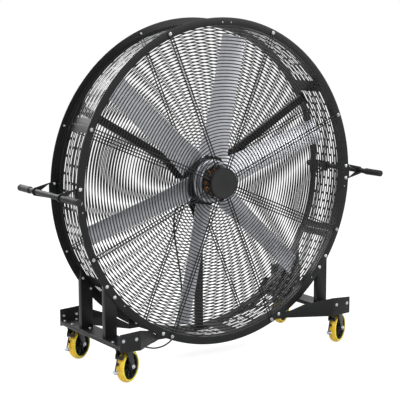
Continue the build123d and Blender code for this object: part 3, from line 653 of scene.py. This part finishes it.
def stand_bolts():
    """The coach bolts through the rings, posts, beams and brackets."""
    build = Build()
    spots = []
    posts = [(POST_CENTRE + step, POST_DEPTH) for step in (-POST_BOLT_STEP, POST_BOLT_STEP)]
    for side in (-1, 1):
        for x, held in posts + [(BEAM_BOLT_X, BEAM_SHEET)]:
            spots.append((side * x, AXIS.z - sqrt(BOLT_CIRCLE ** 2 - x ** 2), held))
        for step in (-BRACKET_STEP, BRACKET_STEP):
            spots.append((side * sqrt(BOLT_CIRCLE ** 2 - step ** 2), AXIS.z + step, BEAM_SHEET))
    for x, z, held in spots:
        for end in (1, -1):
            dome_bolt(build, aim((x, end * FRONT_FACE, z), (0, -end, 0)), *RING_HEAD)
            back = end * (FRONT_FACE + RING_SHEET + held)
            nut(build, aim((x, back, z), (0, end, 0), x), *RING_NUT)
    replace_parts(build.make("ring_bolts", ZINC), "frame_bolts")


def platform_bolts():
    """Bolts of the caster plates, the post feet and the beams' ends, and the small screws of the rings."""
    build = Build()
    for side in (-1, 1):
        for end in (-1, 1):
            for x in (-PLATE_BOLT_X, PLATE_BOLT_X):
                for y in (-PLATE_BOLT_Y, PLATE_BOLT_Y):
                    spot = (side * PLATFORM_X + x, end * CASTER_Y + y, PLATFORM_TOP)
                    if abs(spot[1]) < abs(END_FACE) - 0.012:
                        hex_bolt(build, aim(spot, UP, x + y), PLATE_BOLT)
            foot = (side * (PLATFORM_X - FOOT_BOLT_X), end * FOOT_BOLT_Y, PLATFORM_TOP)
            hex_bolt(build, aim(foot, UP), PLATE_BOLT)
            for x in END_BOLTS_X:
                face = (side * (PLATFORM_X - x), -end * END_FACE, PLATFORM_TOP + END_BOLT_RISE)
                inner = (face[0], -end * (END_FACE + END_SHEET), face[2])
                dome_bolt(build, aim(face, (0, end, 0)), *END_HEAD)
                nut(build, aim(inner, (0, -end, 0)), *END_NUT)
    build.make("platform_bolts", ZINC)
    build = Build()
    for degree in RING_SCREWS:
        for end in (1, -1):
            spot = around(RING_BORE + SCREW_INSET, radians(degree), end * FRONT_FACE)
            dome_bolt(build, aim(spot, (0, -end, 0)), *SCREW_HEAD)
    build.make("ring_screws", STEEL)


def grille_bolts():
    """The bolts between each pair of wires, at both faces, and their nuts."""
    build = Build()
    for pair in range(PAIRS):
        angle = radians(FIRST_PAIR + pair * 360 / PAIRS)
        for end in (1, -1):
            head = around(BOLT_CIRCLE - 0.001, angle, end * (FRONT_FACE - TAB[0]))
            hex_bolt(build, aim(head, (0, -end, 0), angle), GRILLE_BOLT)
            back = around(BOLT_CIRCLE - 0.001, angle, end * (FRONT_FACE + RING_SHEET))
            nut(build, aim(back, (0, end, 0), angle), *GRILLE_NUT)
    build.make("grille_bolts", ZINC)


# --- rotor and motor
BLADES = 6
FIRST_BLADE = radians(77.6)
BLADE_PITCH = radians(22.6)
BLADE_CHORD = 0.128
BLADE_CAMBER = 0.009
BLADE_SHEET = 0.004
BLADE_PLANE = -0.01
BLADE_ROOT = 0.127
BLADE_TIP = 0.758
BLADE_ENDS = 0.0008
BLADE_STATIONS = 8
SECTION_STEPS = 22
ROOT_TONGUE = 0.005
ROOT_FLARE = 0.24
FLARE_REACH = 0.3
BLADE_BOLT_X = (0.022, 0.07)
BLADE_BOLT_CHORD = (-0.024, 0.024)
RIVET_HEAD = (0.0065, 0.0016)
RIVET_NUT = (0.0078, 0.0062, 0.0042)
CHORD_WAY = Vector((0, -sin(BLADE_PITCH), -cos(BLADE_PITCH)))
REAR_WAY = Vector((1, 0, 0)).cross(CHORD_WAY)


def blade_outline():
    """The blade's thin cambered section: x along the chord, y to the rear."""
    half = BLADE_CHORD / 2
    radius = (half ** 2 + BLADE_CAMBER ** 2) / (2 * BLADE_CAMBER)
    centre = BLADE_CAMBER - radius
    limit = atan2(half, radius)
    middle = radius + BLADE_SHEET / 2
    outer, inner = [], []
    for k in range(SECTION_STEPS + 1):
        across = 1 - 2 * k / SECTION_STEPS
        angle = limit * across
        swell = BLADE_SHEET / 2 * (1 - 0.45 * abs(across) ** 4)
        outer.append(((middle + swell) * sin(angle), centre + (middle + swell) * cos(angle)))
        inner.append(((middle - swell) * sin(angle), centre + (middle - swell) * cos(angle)))
    bulge = Vector((0.0009, 0))
    nose = tuple((Vector(outer[-1]) + Vector(inner[-1])) / 2 - bulge)
    tail = tuple((Vector(outer[0]) + Vector(inner[0])) / 2 + bulge)
    return outer + [nose] + inner[::-1] + [tail]


def blade_mesh():
    """One blade along local +X, already pitched, and wider towards its root."""
    outline = blade_outline()
    length = BLADE_TIP - BLADE_ROOT
    stations = [BLADE_ROOT, BLADE_ROOT + BLADE_ENDS]
    stations += [BLADE_ROOT + length * k / BLADE_STATIONS for k in range(1, BLADE_STATIONS)]
    stations += [BLADE_TIP - BLADE_ENDS, BLADE_TIP]
    mid = Vector((0, BLADE_CAMBER * 0.7))
    points = []
    for x in stations:
        ease = 0.93 if x in (BLADE_ROOT, BLADE_TIP) else 1
        flare = 1 + ROOT_FLARE * max(0, 1 - (x - BLADE_ROOT) / FLARE_REACH) ** 2
        for u, v in outline:
            spot = mid + (Vector((u, v)) - mid) * (ease if abs(u) > 0.9 * BLADE_CHORD / 2 else 1)
            points.append(Vector((x, 0, 0)) + CHORD_WAY * spot.x * flare + REAR_WAY * spot.y)
    return points, joined(len(stations), len(outline))


def blade_place(index):
    turn = Matrix.Rotation(-(FIRST_BLADE + index * 2 * pi / BLADES), 4, "Y")
    return shift(AXIS.x, BLADE_PLANE, AXIS.z) @ turn


def blades():
    build = Build()
    build.add(*blade_mesh())
    for index in range(BLADES):
        blade = build.make(f"fan_blade_{index + 1}", BLADE, "rotor", 38, blade_place(index))
        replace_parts(blade, f"blade_{index + 1}")


def blade_bolts():
    """Four bolts through each blade: flush heads in front, nuts behind the root's tongue."""
    heads, nuts = Build(), Build()
    for index in range(BLADES):
        base = blade_place(index)
        for x in BLADE_BOLT_X:
            for u in BLADE_BOLT_CHORD:
                sag = BLADE_CAMBER * (1 - (2 * u / BLADE_CHORD) ** 2)
                spot = Vector((BLADE_ROOT + x, 0, 0)) + CHORD_WAY * u
                dome_bolt(heads, base @ aim(spot + REAR_WAY * (sag - 0.0002), -REAR_WAY), *RIVET_HEAD)
                back = spot + REAR_WAY * (sag + BLADE_SHEET + ROOT_TONGUE)
                nut(nuts, base @ aim(back, REAR_WAY), *RIVET_NUT)
    heads.make("blade_rivets", BLADE, "rotor")
    nuts.make("blade_nuts", ZINC, "rotor")


TEETH = 12
TURNS = 12
GAUGE = 0.0022
COIL_INNER = 0.043
COIL_OUTER = 0.07
COIL_HALF = 0.0106
COIL_BEND = 0.0085
# the second layer lies this share of a wire's gauge inside the first
LAYER_INSET = 0.92
BELL_WALL = 0.007
BELL_FACE = 0.006
BELL_SIDES = 144
GROOVE_START = 0.004
GROOVE_WIDTH = 0.0035
GROOVE_DEPTH = 0.0008
BEARING_SEAT = 0.0311
BOSS = 0.038
COVER_INSET = 0.0004
WINDOW_INNER = 0.0415
WINDOW_OUTER = 0.084
WINDOW_HALF = radians(13)
WINDOW_CUT = 0.0024
CORNER = radians(1.7)
# the corners that a window's cut corner cells keep, by row and step
WINDOW_CORNERS = {(2, 0): (0, 1, 3), (2, 4): (0, 2, 3), (5, 0): (0, 1, 2), (5, 4): (1, 2, 3)}
BOSS_LENGTH = 0.02
COVER_BOSS = 0.014
BELL_SCREWS = 6
BOSS_CIRCLE = 0.0345
BOSS_SCREW = (0.0026, 0.0004)
COVER_CIRCLE = 0.072
COVER_SCREW = (0.0045, 0.0018)
HUB_BORE = 0.0885
HUB_RIM = 0.018
HUB_WAIST = 0.002
HUB_ROUND = 0.002
HUB_SCREWS = 8
HUB_CIRCLE = 0.101
HUB_SCREW = (0.0036, 0.0014)


def windings():
    """Twelve coils, each two layers of racetrack turns round its tooth."""
    low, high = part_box("stator_coils")
    build = Build()
    front, rear = low.y + GAUGE + COIL_BEND, high.y - GAUGE - COIL_BEND
    for index in range(TEETH):
        turn = shift(AXIS.x, 0, AXIS.z) @ Matrix.Rotation(-2 * pi * index / TEETH, 4, "Y")
        for layer in range(2):
            inset = LAYER_INSET * GAUGE * layer
            bend = COIL_BEND - inset
            side = COIL_HALF - COIL_BEND - inset
            for row in range(TURNS - layer):
                x = COIL_INNER + (COIL_OUTER - COIL_INNER) * (row + 0.5 * layer) / (TURNS - 1)
                path = []
                for y, z, first in ((front, side, 180), (front, -side, 270), (rear, -side, 0),
                                    (rear, side, 90)):
                    for k in range(5):
                        a = radians(first + 22.5 * k)
                        path.append((x, y + bend * cos(a), z - bend * sin(a)))
                build.add(*tube(path, GAUGE / 2, 6, closed=True), turn)
    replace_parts(build.make("copper_windings", COPPER, smooth=70), "stator_coils")


def bell_face_cells(outer):
    """Polar cells of the bell's front face: windows with cut corners between narrow ribs."""
    radii = [BEARING_SEAT, BOSS, WINDOW_INNER, WINDOW_INNER + WINDOW_CUT, (WINDOW_INNER + WINDOW_OUTER) / 2,
             WINDOW_OUTER - WINDOW_CUT, WINDOW_OUTER, outer]
    full = 2 * pi
    sector = full / TEETH
    window = [-WINDOW_HALF, CORNER - WINDOW_HALF, -WINDOW_HALF / 3, WINDOW_HALF / 3, WINDOW_HALF - CORNER]
    angles = window + [WINDOW_HALF, sector / 2, sector - WINDOW_HALF]
    cells = []
    for index in range(TEETH):
        base = index * sector
        for row, (r0, r1) in enumerate(zip(radii, radii[1:])):
            for step, (a0, a1) in enumerate(zip(angles, angles[1:])):
                whole = row in (0, 1, 6) or step >= len(window)
                kept = range(4) if whole else WINDOW_CORNERS.get((row, step), ())
                quad = [(r0, base + a0), (r1, base + a0), (r1, base + a1), (r0, base + a1)]
                if kept:
                    cells.append([quad[i] for i in kept])
    last = full - WINDOW_HALF - 1e-6
    return [[(r, a if a < last else a - full) for r, a in cell] for cell in cells]


def bell():
    """The motor's turning case: a bright turned wall, a black windowed face and the rear cover."""
    outer, start, end = span("rotor_bell")
    inner = outer - BELL_WALL
    front, back = start + 0.0002, start + BELL_FACE
    groove, bed = back + GROOVE_START, outer - GROOVE_DEPTH
    wall = [(inner, back), (outer, back), (outer, groove), (bed, groove + GROOVE_DEPTH),
            (bed, groove + GROOVE_WIDTH), (outer, groove + GROOVE_WIDTH + GROOVE_DEPTH),
            (outer, end - 0.001), (outer - 0.001, end), (inner, end)]
    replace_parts(turned("bell_case", wall, BELL_SIDES, HUB_METAL, "rotor"), "rotor_bell")
    build = Build()
    build.add(*walled(bell_face_cells(outer - 0.0003), around, front, back))
    build.turn(band(BEARING_SEAT, BOSS, back - 0.0005, start + BOSS_LENGTH, 0.0012), 72, fan_place())
    build.make("bell_face", CASTING, "rotor", 35)
    cover_front, cover_back, rim = end - BELL_FACE, end - COVER_INSET, inner - 0.0002
    boss = end - COVER_BOSS
    cover = [(BEARING_SEAT, boss), (BOSS, boss), (BOSS, cover_front), (rim, cover_front),
             (rim, cover_back), (BEARING_SEAT, cover_back)]
    turned("bell_cover", rounded(cover, 0.001), BELL_SIDES, CASTING, "rotor")
    screws = Build()
    for k in range(BELL_SCREWS):
        angle = radians((k + 0.25) * 360 / BELL_SCREWS)
        dome_bolt(screws, aim(around(BOSS_CIRCLE, angle, front), (0, -1, 0)), *BOSS_SCREW)
        dome_bolt(screws, aim(around(COVER_CIRCLE, angle, cover_back), (0, 1, 0)), *COVER_SCREW)
    screws.make("bell_screws", STEEL, "rotor")


def hub():
    """The black hub drum, the bright spun plate on its front, and the plate's screws."""
    outer, start, end = span("hub_drum")
    waist, slope = outer - HUB_WAIST, HUB_RIM + HUB_WAIST
    profile = [(HUB_BORE, start), (outer, start), (outer, start + HUB_RIM), (waist, start + slope),
               (waist, end - slope), (outer, end - HUB_RIM), (outer, end), (HUB_BORE, end)]
    casting = turned("hub_casting", rounded(profile, HUB_ROUND), BELL_SIDES, CASTING, "rotor", 40)
    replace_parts(casting, "hub_drum")
    outer, start, end = span("hub_plate")
    profile = [(HUB_BORE, start + 0.0035), (HUB_BORE + 0.006, start + 0.0005), (outer - 0.012, start),
               (outer - 0.003, start + 0.0022), (outer, end - 0.001), (outer, end), (HUB_BORE, end)]
    face = turned("hub_face_plate", rounded(profile, 0.0016, 4), BELL_SIDES, HUB_METAL, "rotor", 40)
    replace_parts(face, "hub_plate")
    build = Build()
    for k in range(HUB_SCREWS):
        angle = radians((k + 0.5) * 360 / HUB_SCREWS)
        dome_bolt(build, aim(around(HUB_CIRCLE, angle, start + 0.0004), (0, -1, 0)), *HUB_SCREW)
    build.make("hub_screws", STEEL, "rotor")


# --- handles
GRIP_LENGTH = 0.12
GRIP_RADIUS = 0.0175
GRIP_BODY = GRIP_RADIUS - 0.0008
GRIP_GROOVE = GRIP_RADIUS - 0.0014
GRIP_ROUND = 0.006
GROOVES = 5
GROOVE_PITCH = 0.004
GROOVE_FIRST = 0.012
# the hole in the grip's end and the mouth round the bar: radius and depth; the collar: inset and depth
GRIP_HOLE = ((0, 0.003), (0.0032, 0.003), (0.0036, 0.0006))
GRIP_COLLAR = ((0.0006, 0.016), (0.0002, 0.0145), (0, 0.013), (0, 0.0015), (0.001, 0.0004))
GRIP_MOUTH = ((0.0145, 0), (0.0137, 0.001))
BAR_WALL = 0.002


def grip_outline():
    """A sleeve with a rounded, holed end, five grooves and a thicker collar at its inner end."""
    outline = list(GRIP_HOLE)
    for k in range(6):
        angle = radians(90 * k / 5)
        outline.append((GRIP_BODY - GRIP_ROUND * (1 - sin(angle)), GRIP_ROUND * (1 - cos(angle))))
    for k in range(GROOVES):
        y = GROOVE_FIRST + GROOVE_PITCH * k
        outline += [(GRIP_BODY, y), (GRIP_GROOVE, y + 0.0006), (GRIP_GROOVE, y + 0.0014),
                    (GRIP_BODY, y + 0.002)]
    outline += [(GRIP_RADIUS - inset, GRIP_LENGTH - back) for inset, back in GRIP_COLLAR]
    return outline + [(radius, GRIP_LENGTH - back) for radius, back in GRIP_MOUTH]


def handles():
    """The two push bars, with a rubber grip on each end."""
    low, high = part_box("handle_tubes")
    bar_radius = (high.z - low.z) / 2
    reach = high.x - bar_radius
    tubes, grips = Build(), Build()
    profile = band(bar_radius - BAR_WALL, bar_radius, low.y, high.y, 0.0006, 2)
    grip_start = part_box("handle_grips")[0].y
    for side in (-1, 1):
        tubes.turn(profile, 48, fan_place(x=side * reach))
        for end in (1, -1):
            place = fan_place(end * grip_start, end, side * reach)
            grips.turn(grip_outline(), 48, place, closed=False)
    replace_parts(tubes.make("push_bars", BAR_PAINT, smooth=40), "handle_tubes")
    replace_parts(grips.make("rubber_grips", RUBBER, smooth=40), "handle_grips")


# --- casters
tyre_low, tyre_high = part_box("caster_tyre_front_left")
WHEEL = (tyre_high.z - tyre_low.z) / 2
TYRE_HALF = 0.022
TYRE_CROWN = 0.012
# the crown's facets, in degrees, and the groove at its middle: drop and half width
CROWN_TURNS = (72, 60, 48, 36, 26, 17, 9)
TYRE_GROOVE = ((0, 0.0016), (0.0004, 0.0012), (0.0016, 0.0008))
CORE_RADIUS = 0.065
CORE_BORE = 0.0061
CORE_WEB = 0.003
HUB_HALF = 0.0245
# half of the rim's section: inset and half width; half of the boss's: radius and half width
CORE_RIM = ((0.0002, 0.018), (0.0055, 0.0176), (0.0075, 0.012), (0.0085, 0.0045))
CORE_BOSS = ((CORE_BORE, HUB_HALF), (0.015, HUB_HALF), (0.0178, 0.018), (0.019, 0))
RIBS = 8
RIB_MIDDLE = 0.0355
RIB = (0.038, 0.0042, 0.028, 0.0008)
AXLE_HEAD = 0.01
AXLE_SEAT = 0.0315
AXLE_END = 0.0375
AXLE_STUD = 0.0048
AXLE_TIP = 0.003
TIP_CUT = 0.0008
AXLE_WASHER = (0.0118, 0.0059, 0.0014)
AXLE_REACH = 0.01
PIN_RADIUS = 0.0058
PIN_HALF = AXLE_END - 0.003
SWIVELS = ("front_left", "rear_left", "front_right", "rear_right")


def wheel_place(name):
    """Local Z along the axle, local X ahead of the wheel, on the wheel's centre."""
    joint = JOINTS[f"wheel_roll_{name}"]
    axle = Vector(joint["axis"]).normalized()
    turn = Matrix((UP.cross(axle), UP, axle)).transposed().to_4x4()
    return Matrix.Translation(joint["pos_m"]) @ turn


def tyre_profile():
    """A round crown with a moulded groove at its middle and a lip at the core."""
    edge = TYRE_HALF - 0.0005
    half = [(CORE_RADIUS + 0.0002, edge - 0.002), (CORE_RADIUS + 0.003, edge), (WHEEL - TYRE_CROWN, edge)]
    for degree in CROWN_TURNS:
        angle = radians(degree)
        half.append((WHEEL - TYRE_CROWN * (1 - cos(angle)), (edge - 0.0002) * sin(angle)))
    half += [(WHEEL - drop, width) for drop, width in TYRE_GROOVE]
    return [(r, -h) for r, h in half] + [(r, h) for r, h in reversed(half)]


def core_mesh(build, place):
    """The wheel centre: rim, hub, web and eight ribs on each side."""
    rim = [(CORE_RADIUS - inset, h) for inset, h in CORE_RIM]
    rim += [(r, -h) for r, h in reversed(rim)]
    build.turn(rounded(rim[::-1], 0.0012, 2), 72, place)
    boss = [(r, -h) for r, h in CORE_BOSS] + list(CORE_BOSS[2::-1])
    build.turn(rounded(boss, 0.001, 2), 48, place)
    web = band(0.017, CORE_RADIUS - 0.007, -CORE_WEB, CORE_WEB, 0.0005, 1)
    build.turn(web, 72, place)
    for k in range(RIBS):
        build.block(RIB, place @ Matrix.Rotation(2 * pi * (k + 0.5) / RIBS, 4, "Z"), (RIB_MIDDLE, 0, 0))


def casters():
    for name in SWIVELS:
        place = wheel_place(name)
        tyre = turned(f"tyre_{name}", tyre_profile(), 96, TYRE, f"wheel_{name}", 45, place)
        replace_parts(tyre, f"caster_tyre_{name}")
        build = Build()
        core_mesh(build, place)
        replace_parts(build.make(f"core_{name}", CASTER_BLACK, f"wheel_{name}", 40), f"caster_core_{name}")


def forks():
    """The swivel forks in black, and the axle bolts with bright ends."""
    head = AXLE_END - AXLE_SEAT
    tip = head + AXLE_TIP
    stud = [(0, head), (AXLE_STUD, head), (AXLE_STUD, tip - TIP_CUT), (AXLE_STUD - TIP_CUT, tip), (0, tip)]
    pin = [(0, -PIN_HALF), (PIN_RADIUS, -PIN_HALF), (PIN_RADIUS, PIN_HALF), (0, PIN_HALF)]
    for name in SWIVELS:
        axle = Vector(JOINTS[f"wheel_roll_{name}"]["pos_m"])
        node = f"caster_fork_{name}"
        dressed(node, CASTER_BLACK, 0.001, pick=lambda middle: (middle - axle).length > AXLE_REACH)
        build = Build()
        place = wheel_place(name)
        build.turn(pin, 24, place, closed=False)
        for way in (1, -1):
            end = place @ Matrix.Rotation(pi * (way < 0), 4, "X") @ shift(0, 0, AXLE_SEAT)
            build.add(*washer(*AXLE_WASHER), end)
            build.add(*hexagon(AXLE_HEAD, head), end)
            build.turn(stud, 20, end, closed=False)
        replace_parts(build.make(f"axle_bolt_{name}", ZINC, f"swivel_{name}"), node)


PEDAL_ARM = 0.006
PEDAL_SLEEVE = 0.0078
SLEEVE_BORE = 0.00405
SLEEVE_HALF = 0.013
PEDAL_LEAN = 0.0245
ARM_SHEET = 0.003
ARM_LIFT = 0.003
PLATE_LIFT = 0.003
# sizes and edges of the arm's rib, without its length, and of the shoe and the plate
ARM_RIB = (0.0042, 0.012)
SHOE = (0.014, 0.016, 0.016, 0.0016)
FOOT_PLATE = (0.02, 0.024, 0.011, 0.003)


def pedals():
    """The brake pedals: a black arm beside the tread, its sleeve and shoe, and a bright foot plate."""
    for name in SWIVELS:
        joint = JOINTS[f"brake_press_{name}"]
        side = Vector(joint["axis"]).normalized()
        pivot = Vector(joint["pos_m"])
        drop = pivot.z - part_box(f"brake_pedal_{name}")[0].z - ARM_LIFT
        turn = Matrix((side.cross(UP), side, UP)).transposed().to_4x4()
        place = Matrix.Translation(pivot) @ turn
        reach = hypot(PEDAL_LEAN, drop)
        tilted = place @ Matrix.Rotation(atan2(PEDAL_LEAN, drop), 4, "Y")
        arm = Build()
        sleeve = band(SLEEVE_BORE, PEDAL_SLEEVE, -SLEEVE_HALF, SLEEVE_HALF, 0.0008, 2)
        arm.turn(sleeve, 32, place @ Matrix.Rotation(-pi / 2, 4, "X"))
        bars = (((ARM_SHEET, PEDAL_ARM, reach - 0.004, 0.0005), (0, 0.0098, -reach / 2 - 0.002), tilted),
                ((*ARM_RIB, 0.2 * reach, 0.0008), (0.0028, 0.004, -0.45 * reach), tilted),
                (SHOE, (0.002 - PEDAL_LEAN, 0.006, -drop - 0.002), place))
        for sizes, middle, where in bars:
            arm.block(sizes, where, middle)
        arm_piece = arm.make(f"pedal_arm_{name}", CASTER_BLACK, f"brake_{name}", 35)
        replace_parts(arm_piece, f"brake_pedal_{name}")
        foot = Build()
        foot.block(FOOT_PLATE, place, (-PEDAL_LEAN - FOOT_PLATE[0] / 2, 0, PLATE_LIFT - drop))
        foot.make(f"pedal_plate_{name}", PEDAL, f"brake_{name}", 35)


# --- control box and lead
LEAD_RADIUS = 0.0045
LEAD_BORE = LEAD_RADIUS + 0.0004
GLAND_PLACE = (0.596, 0.18)
LID_INSET = 0.009
LID_SCREW = (0.0042, 0.002)
TIE_HALF = 0.0019
TIE_HEAD = (0.0045, 0.004, 0.0052, 0.0006)
# each tie's middle, and the way that the lead runs there
TIE_PLACES = (((-0.0955, 0.122, 0.424), (0.013, -0.001, 0.078)),
              ((-0.1065, 0.121, 0.484), (0.014, 0.001, 0.08)),
              ((-0.1265, 0.1224, 0.62), (0.009, -0.001, 0.08)),
              ((-0.087, 0.117, 0.302), (0.002, 0.007, 0.075)))
FLUTES = 18
KNOB_SIDES = 72
FLUTE_DEPTH = 0.03
# the knob's outline: heights and radii in parts of its own
KNOB_LEVELS = ((0, 1), (0.82, 0.94), (0.94, 0.9), (1, 0.8))
KNOB_BODY = 0.94
SKIRT_RIM = 0.0022
SKIRT_TOP = 0.0034
GLAND_NUT = (0.0115, 0.007)
GLAND_BASE = 0.0088
GLAND_TIP = 0.0078
GLAND_LENGTH = 0.016


def fluted(radius, height):
    """A round knob body with shallow flutes, standing on local z = 0."""
    points = []
    for level, scale in KNOB_LEVELS:
        for k in range(KNOB_SIDES):
            angle = 2 * pi * k / KNOB_SIDES
            wave = 1 - FLUTE_DEPTH * (0.5 + 0.5 * cos(FLUTES * angle)) * (level < 0.9)
            reach = radius * scale * wave
            points.append((reach * cos(angle), reach * sin(angle), level * height))
    return points, joined(len(KNOB_LEVELS), KNOB_SIDES)


def knob():
    """The speed knob: a fluted body, its skirt and a pale pointer, on the knob's own axis."""
    radius, _, end = span("speed_knob")
    x, y, z = JOINTS["knob_turn"]["pos_m"]
    base = y + 0.0002
    place = aim((x, base, z), (0, 1, 0))
    height = end - base - 0.001
    build = Build()
    build.add(*fluted(KNOB_BODY * radius, height), place)
    skirt = [(0, 0), (radius, 0), (radius, SKIRT_RIM), (0.95 * radius, SKIRT_TOP), (0, SKIRT_TOP)]
    build.turn(skirt, KNOB_SIDES, place, closed=False)
    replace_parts(build.make("knob_body", PLASTIC, "knob", 35), "speed_knob")
    mark = Build()
    mark.block((0.0022, 0.6 * radius, 0.0016, 0.0004), shift(0, 0, 0.4 * radius) @ place, (0, 0, height))
    mark.make("knob_pointer", POINTER, "knob")


def box_fittings():
    """A gland nut where the lead enters the control box, and its lid's four screws."""
    low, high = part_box("control_lid")
    screws = Build()
    for x in (low.x + LID_INSET, high.x - LID_INSET):
        for z in (low.z + LID_INSET, high.z - LID_INSET):
            dome_bolt(screws, aim((x, high.y, z), (0, 1, 0)), *LID_SCREW)
    screws.make("lid_screws", ZINC)
    gland = Build()
    place = aim((*GLAND_PLACE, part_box("control_box")[0].z), (0, 0, -1))
    gland.add(*hexagon(*GLAND_NUT), place)
    cone = [(LEAD_BORE, 0), (GLAND_BASE, 0), (GLAND_TIP, GLAND_LENGTH), (LEAD_BORE, GLAND_LENGTH)]
    gland.turn(rounded(cone, 0.0012, 2), 32, place)
    gland.make("lead_gland", PLASTIC, smooth=35)


def lead_ties():
    """Nylon ties round the hanging lead, each with its square head."""
    build = Build()
    strap = band(LEAD_RADIUS - 0.0003, LEAD_RADIUS + 0.0011, -TIE_HALF, TIE_HALF, 0.0003, 1)
    for origin, way in TIE_PLACES:
        place = aim(origin, Vector(way).normalized())
        build.turn(strap, 24, place)
        build.block(TIE_HEAD, place, (LEAD_RADIUS + 0.002, 0, 0))
    build.make("lead_ties", TIE, smooth=35)


# --- CAD nodes that keep their form
# with eased edges: the width of the easing
EASED = {
    "struts": 0.0012, "motor_mount": 0.0012, "motor_shaft": 0.0008, "blade_roots": 0.0012,
    "handle_brackets": 0.0009, "platform_left": 0.0014, "platform_right": 0.0014, "posts_left": 0.0012,
    "posts_right": 0.0012, "beams_left": 0.001, "beams_right": 0.001, "caster_plates": 0.0008,
    "control_box": 0.0012, "control_lid": 0.0008, "power_switch": 0.0008,
}
# their finishes, where it isn't the black paint
EASED_FINISH = {"motor_mount": STEEL, "motor_shaft": STEEL, "blade_roots": CASTING, "caster_plates": ZINC,
                "power_switch": SWITCH}
# as they are, in a better finish
PLAIN = {"motor_bearings": STEEL, "stator_core": LAMINATION, "rotor_magnets": MAGNET, "motor_lead": CABLE}


def kept_nodes():
    for node, bevel in EASED.items():
        dressed(node, EASED_FINISH.get(node, POWDER), bevel)
    for node, material in PLAIN.items():
        NODES[node].data.materials.clear()
        NODES[node].data.materials.append(material)


# --- camera, floor and light
CAMERA_PLACE = (-3.468, -5.136, 1.746)
CAMERA_TARGET = (-0.0473, 0, 0.8134)
CAMERA_ROLL = radians(-0.178)
CAMERA_LENS = 108.6
FLOOR_HALF = 30
FLOOR_SHARE = 0.7
FLOOR_GLOW = 1.28
WORLD_LEVEL = 0.42
WHITE = (1, 1, 1, 1)
# each lamp's name, place, target, size and power
LAMPS = (("key", (-3.2, -3.4, 4.2), (0, 0, 0.9), 2.6, 170),
         ("fill", (3.3, -3.6, 3.5), (0.3, 0, 0.95), 2.4, 120),
         ("back", (-1.1, 3.6, 3.6), (0, 0, 0.9), 2.4, 220))


def looking(place, target):
    """The place of a camera or lamp that looks at a target."""
    turn = (Vector(target) - Vector(place)).to_track_quat("-Z", "Y").to_matrix().to_4x4()
    return Matrix.Translation(place) @ turn


def camera():
    data = bpy.data.cameras.new("camera")
    data.lens = CAMERA_LENS
    data.sensor_width = 36
    data.clip_end = 60
    place = looking(CAMERA_PLACE, CAMERA_TARGET) @ Matrix.Rotation(CAMERA_ROLL, 4, "Z")
    bpy.context.scene.camera = linked("camera", data, place)


def floor():
    """A pale floor that the camera sees almost white, with the fan's soft shadow kept."""
    n = Nodes(bpy.data.materials.new("floor_white"))
    place = n.add("TexCoord")
    clouds = n.add("TexNoise", {"Vector": (place, "Object"), "Scale": 3, "Detail": 3})
    tint = n.add("MapRange", {"Value": (clouds, "Fac"), "To Min": 0.86, "To Max": 0.9})
    paint = n.add("BsdfDiffuse", {"Color": (tint, "Result")})
    glow = n.add("Emission", {"Color": WHITE, "Strength": FLOOR_GLOW})
    rays = n.add("LightPath")
    share = n.add("Math", {0: (rays, "Is Camera Ray"), 1: FLOOR_SHARE}, operation="MULTIPLY")
    mix = n.add("MixShader", {"Fac": (share, "Value"), 1: (paint, "BSDF"), 2: (glow, "Emission")})
    n.add("OutputMaterial", {"Surface": (mix, "Shader")})
    corners = [(x * FLOOR_HALF, y * FLOOR_HALF, 0) for x, y in ((-1, -1), (1, -1), (1, 1), (-1, 1))]
    mesh = bpy.data.meshes.new("floor")
    mesh.from_pydata(corners, [], [(0, 1, 2, 3)])
    mesh.materials.append(n.owner)
    linked("floor", mesh)


def light():
    """White surroundings that the camera, glass and gloss see in full, and three soft lamps."""
    world = bpy.data.worlds.new("studio")
    bpy.context.scene.world = world
    n = Nodes(world)
    rays = n.add("LightPath")
    seen = n.add("Math", {0: (rays, "Is Camera Ray"), 1: (rays, "Is Transmission Ray")},
                 operation="MAXIMUM")
    through = n.add("Math", {0: (seen, 0), 1: (rays, "Is Glossy Ray")}, operation="MAXIMUM")
    level = n.add("MapRange", {"Value": (through, 0), "To Min": WORLD_LEVEL, "To Max": 1})
    back = n.add("Background", {"Color": WHITE, "Strength": (level, "Result")})
    n.add("OutputWorld", {"Surface": (back, "Background")})
    bpy.context.scene.view_settings.view_transform = "Standard"
    for name, place, target, size, power in LAMPS:
        data = bpy.data.lights.new(name, "AREA")
        data.shape = "SQUARE"
        data.size = size
        data.energy = power
        linked(name, data, looking(place, target))


for make in (camera, floor, light, drum, angle_rings):
    make()
for name, end in (("front", 1), ("rear", -1)):
    grille(name, end)
cap("front_cover", "front_cap", 1, 0.009, 0.003)
cap("rear_cover", "rear_cap", -1, 0.003, 0.001)
for make in (stand_bolts, platform_bolts, grille_bolts, blades, blade_bolts, windings, bell, hub, handles,
             casters, forks, pedals, knob, box_fittings, lead_ties, kept_nodes):
    make()

bpy.context.view_layer.update()
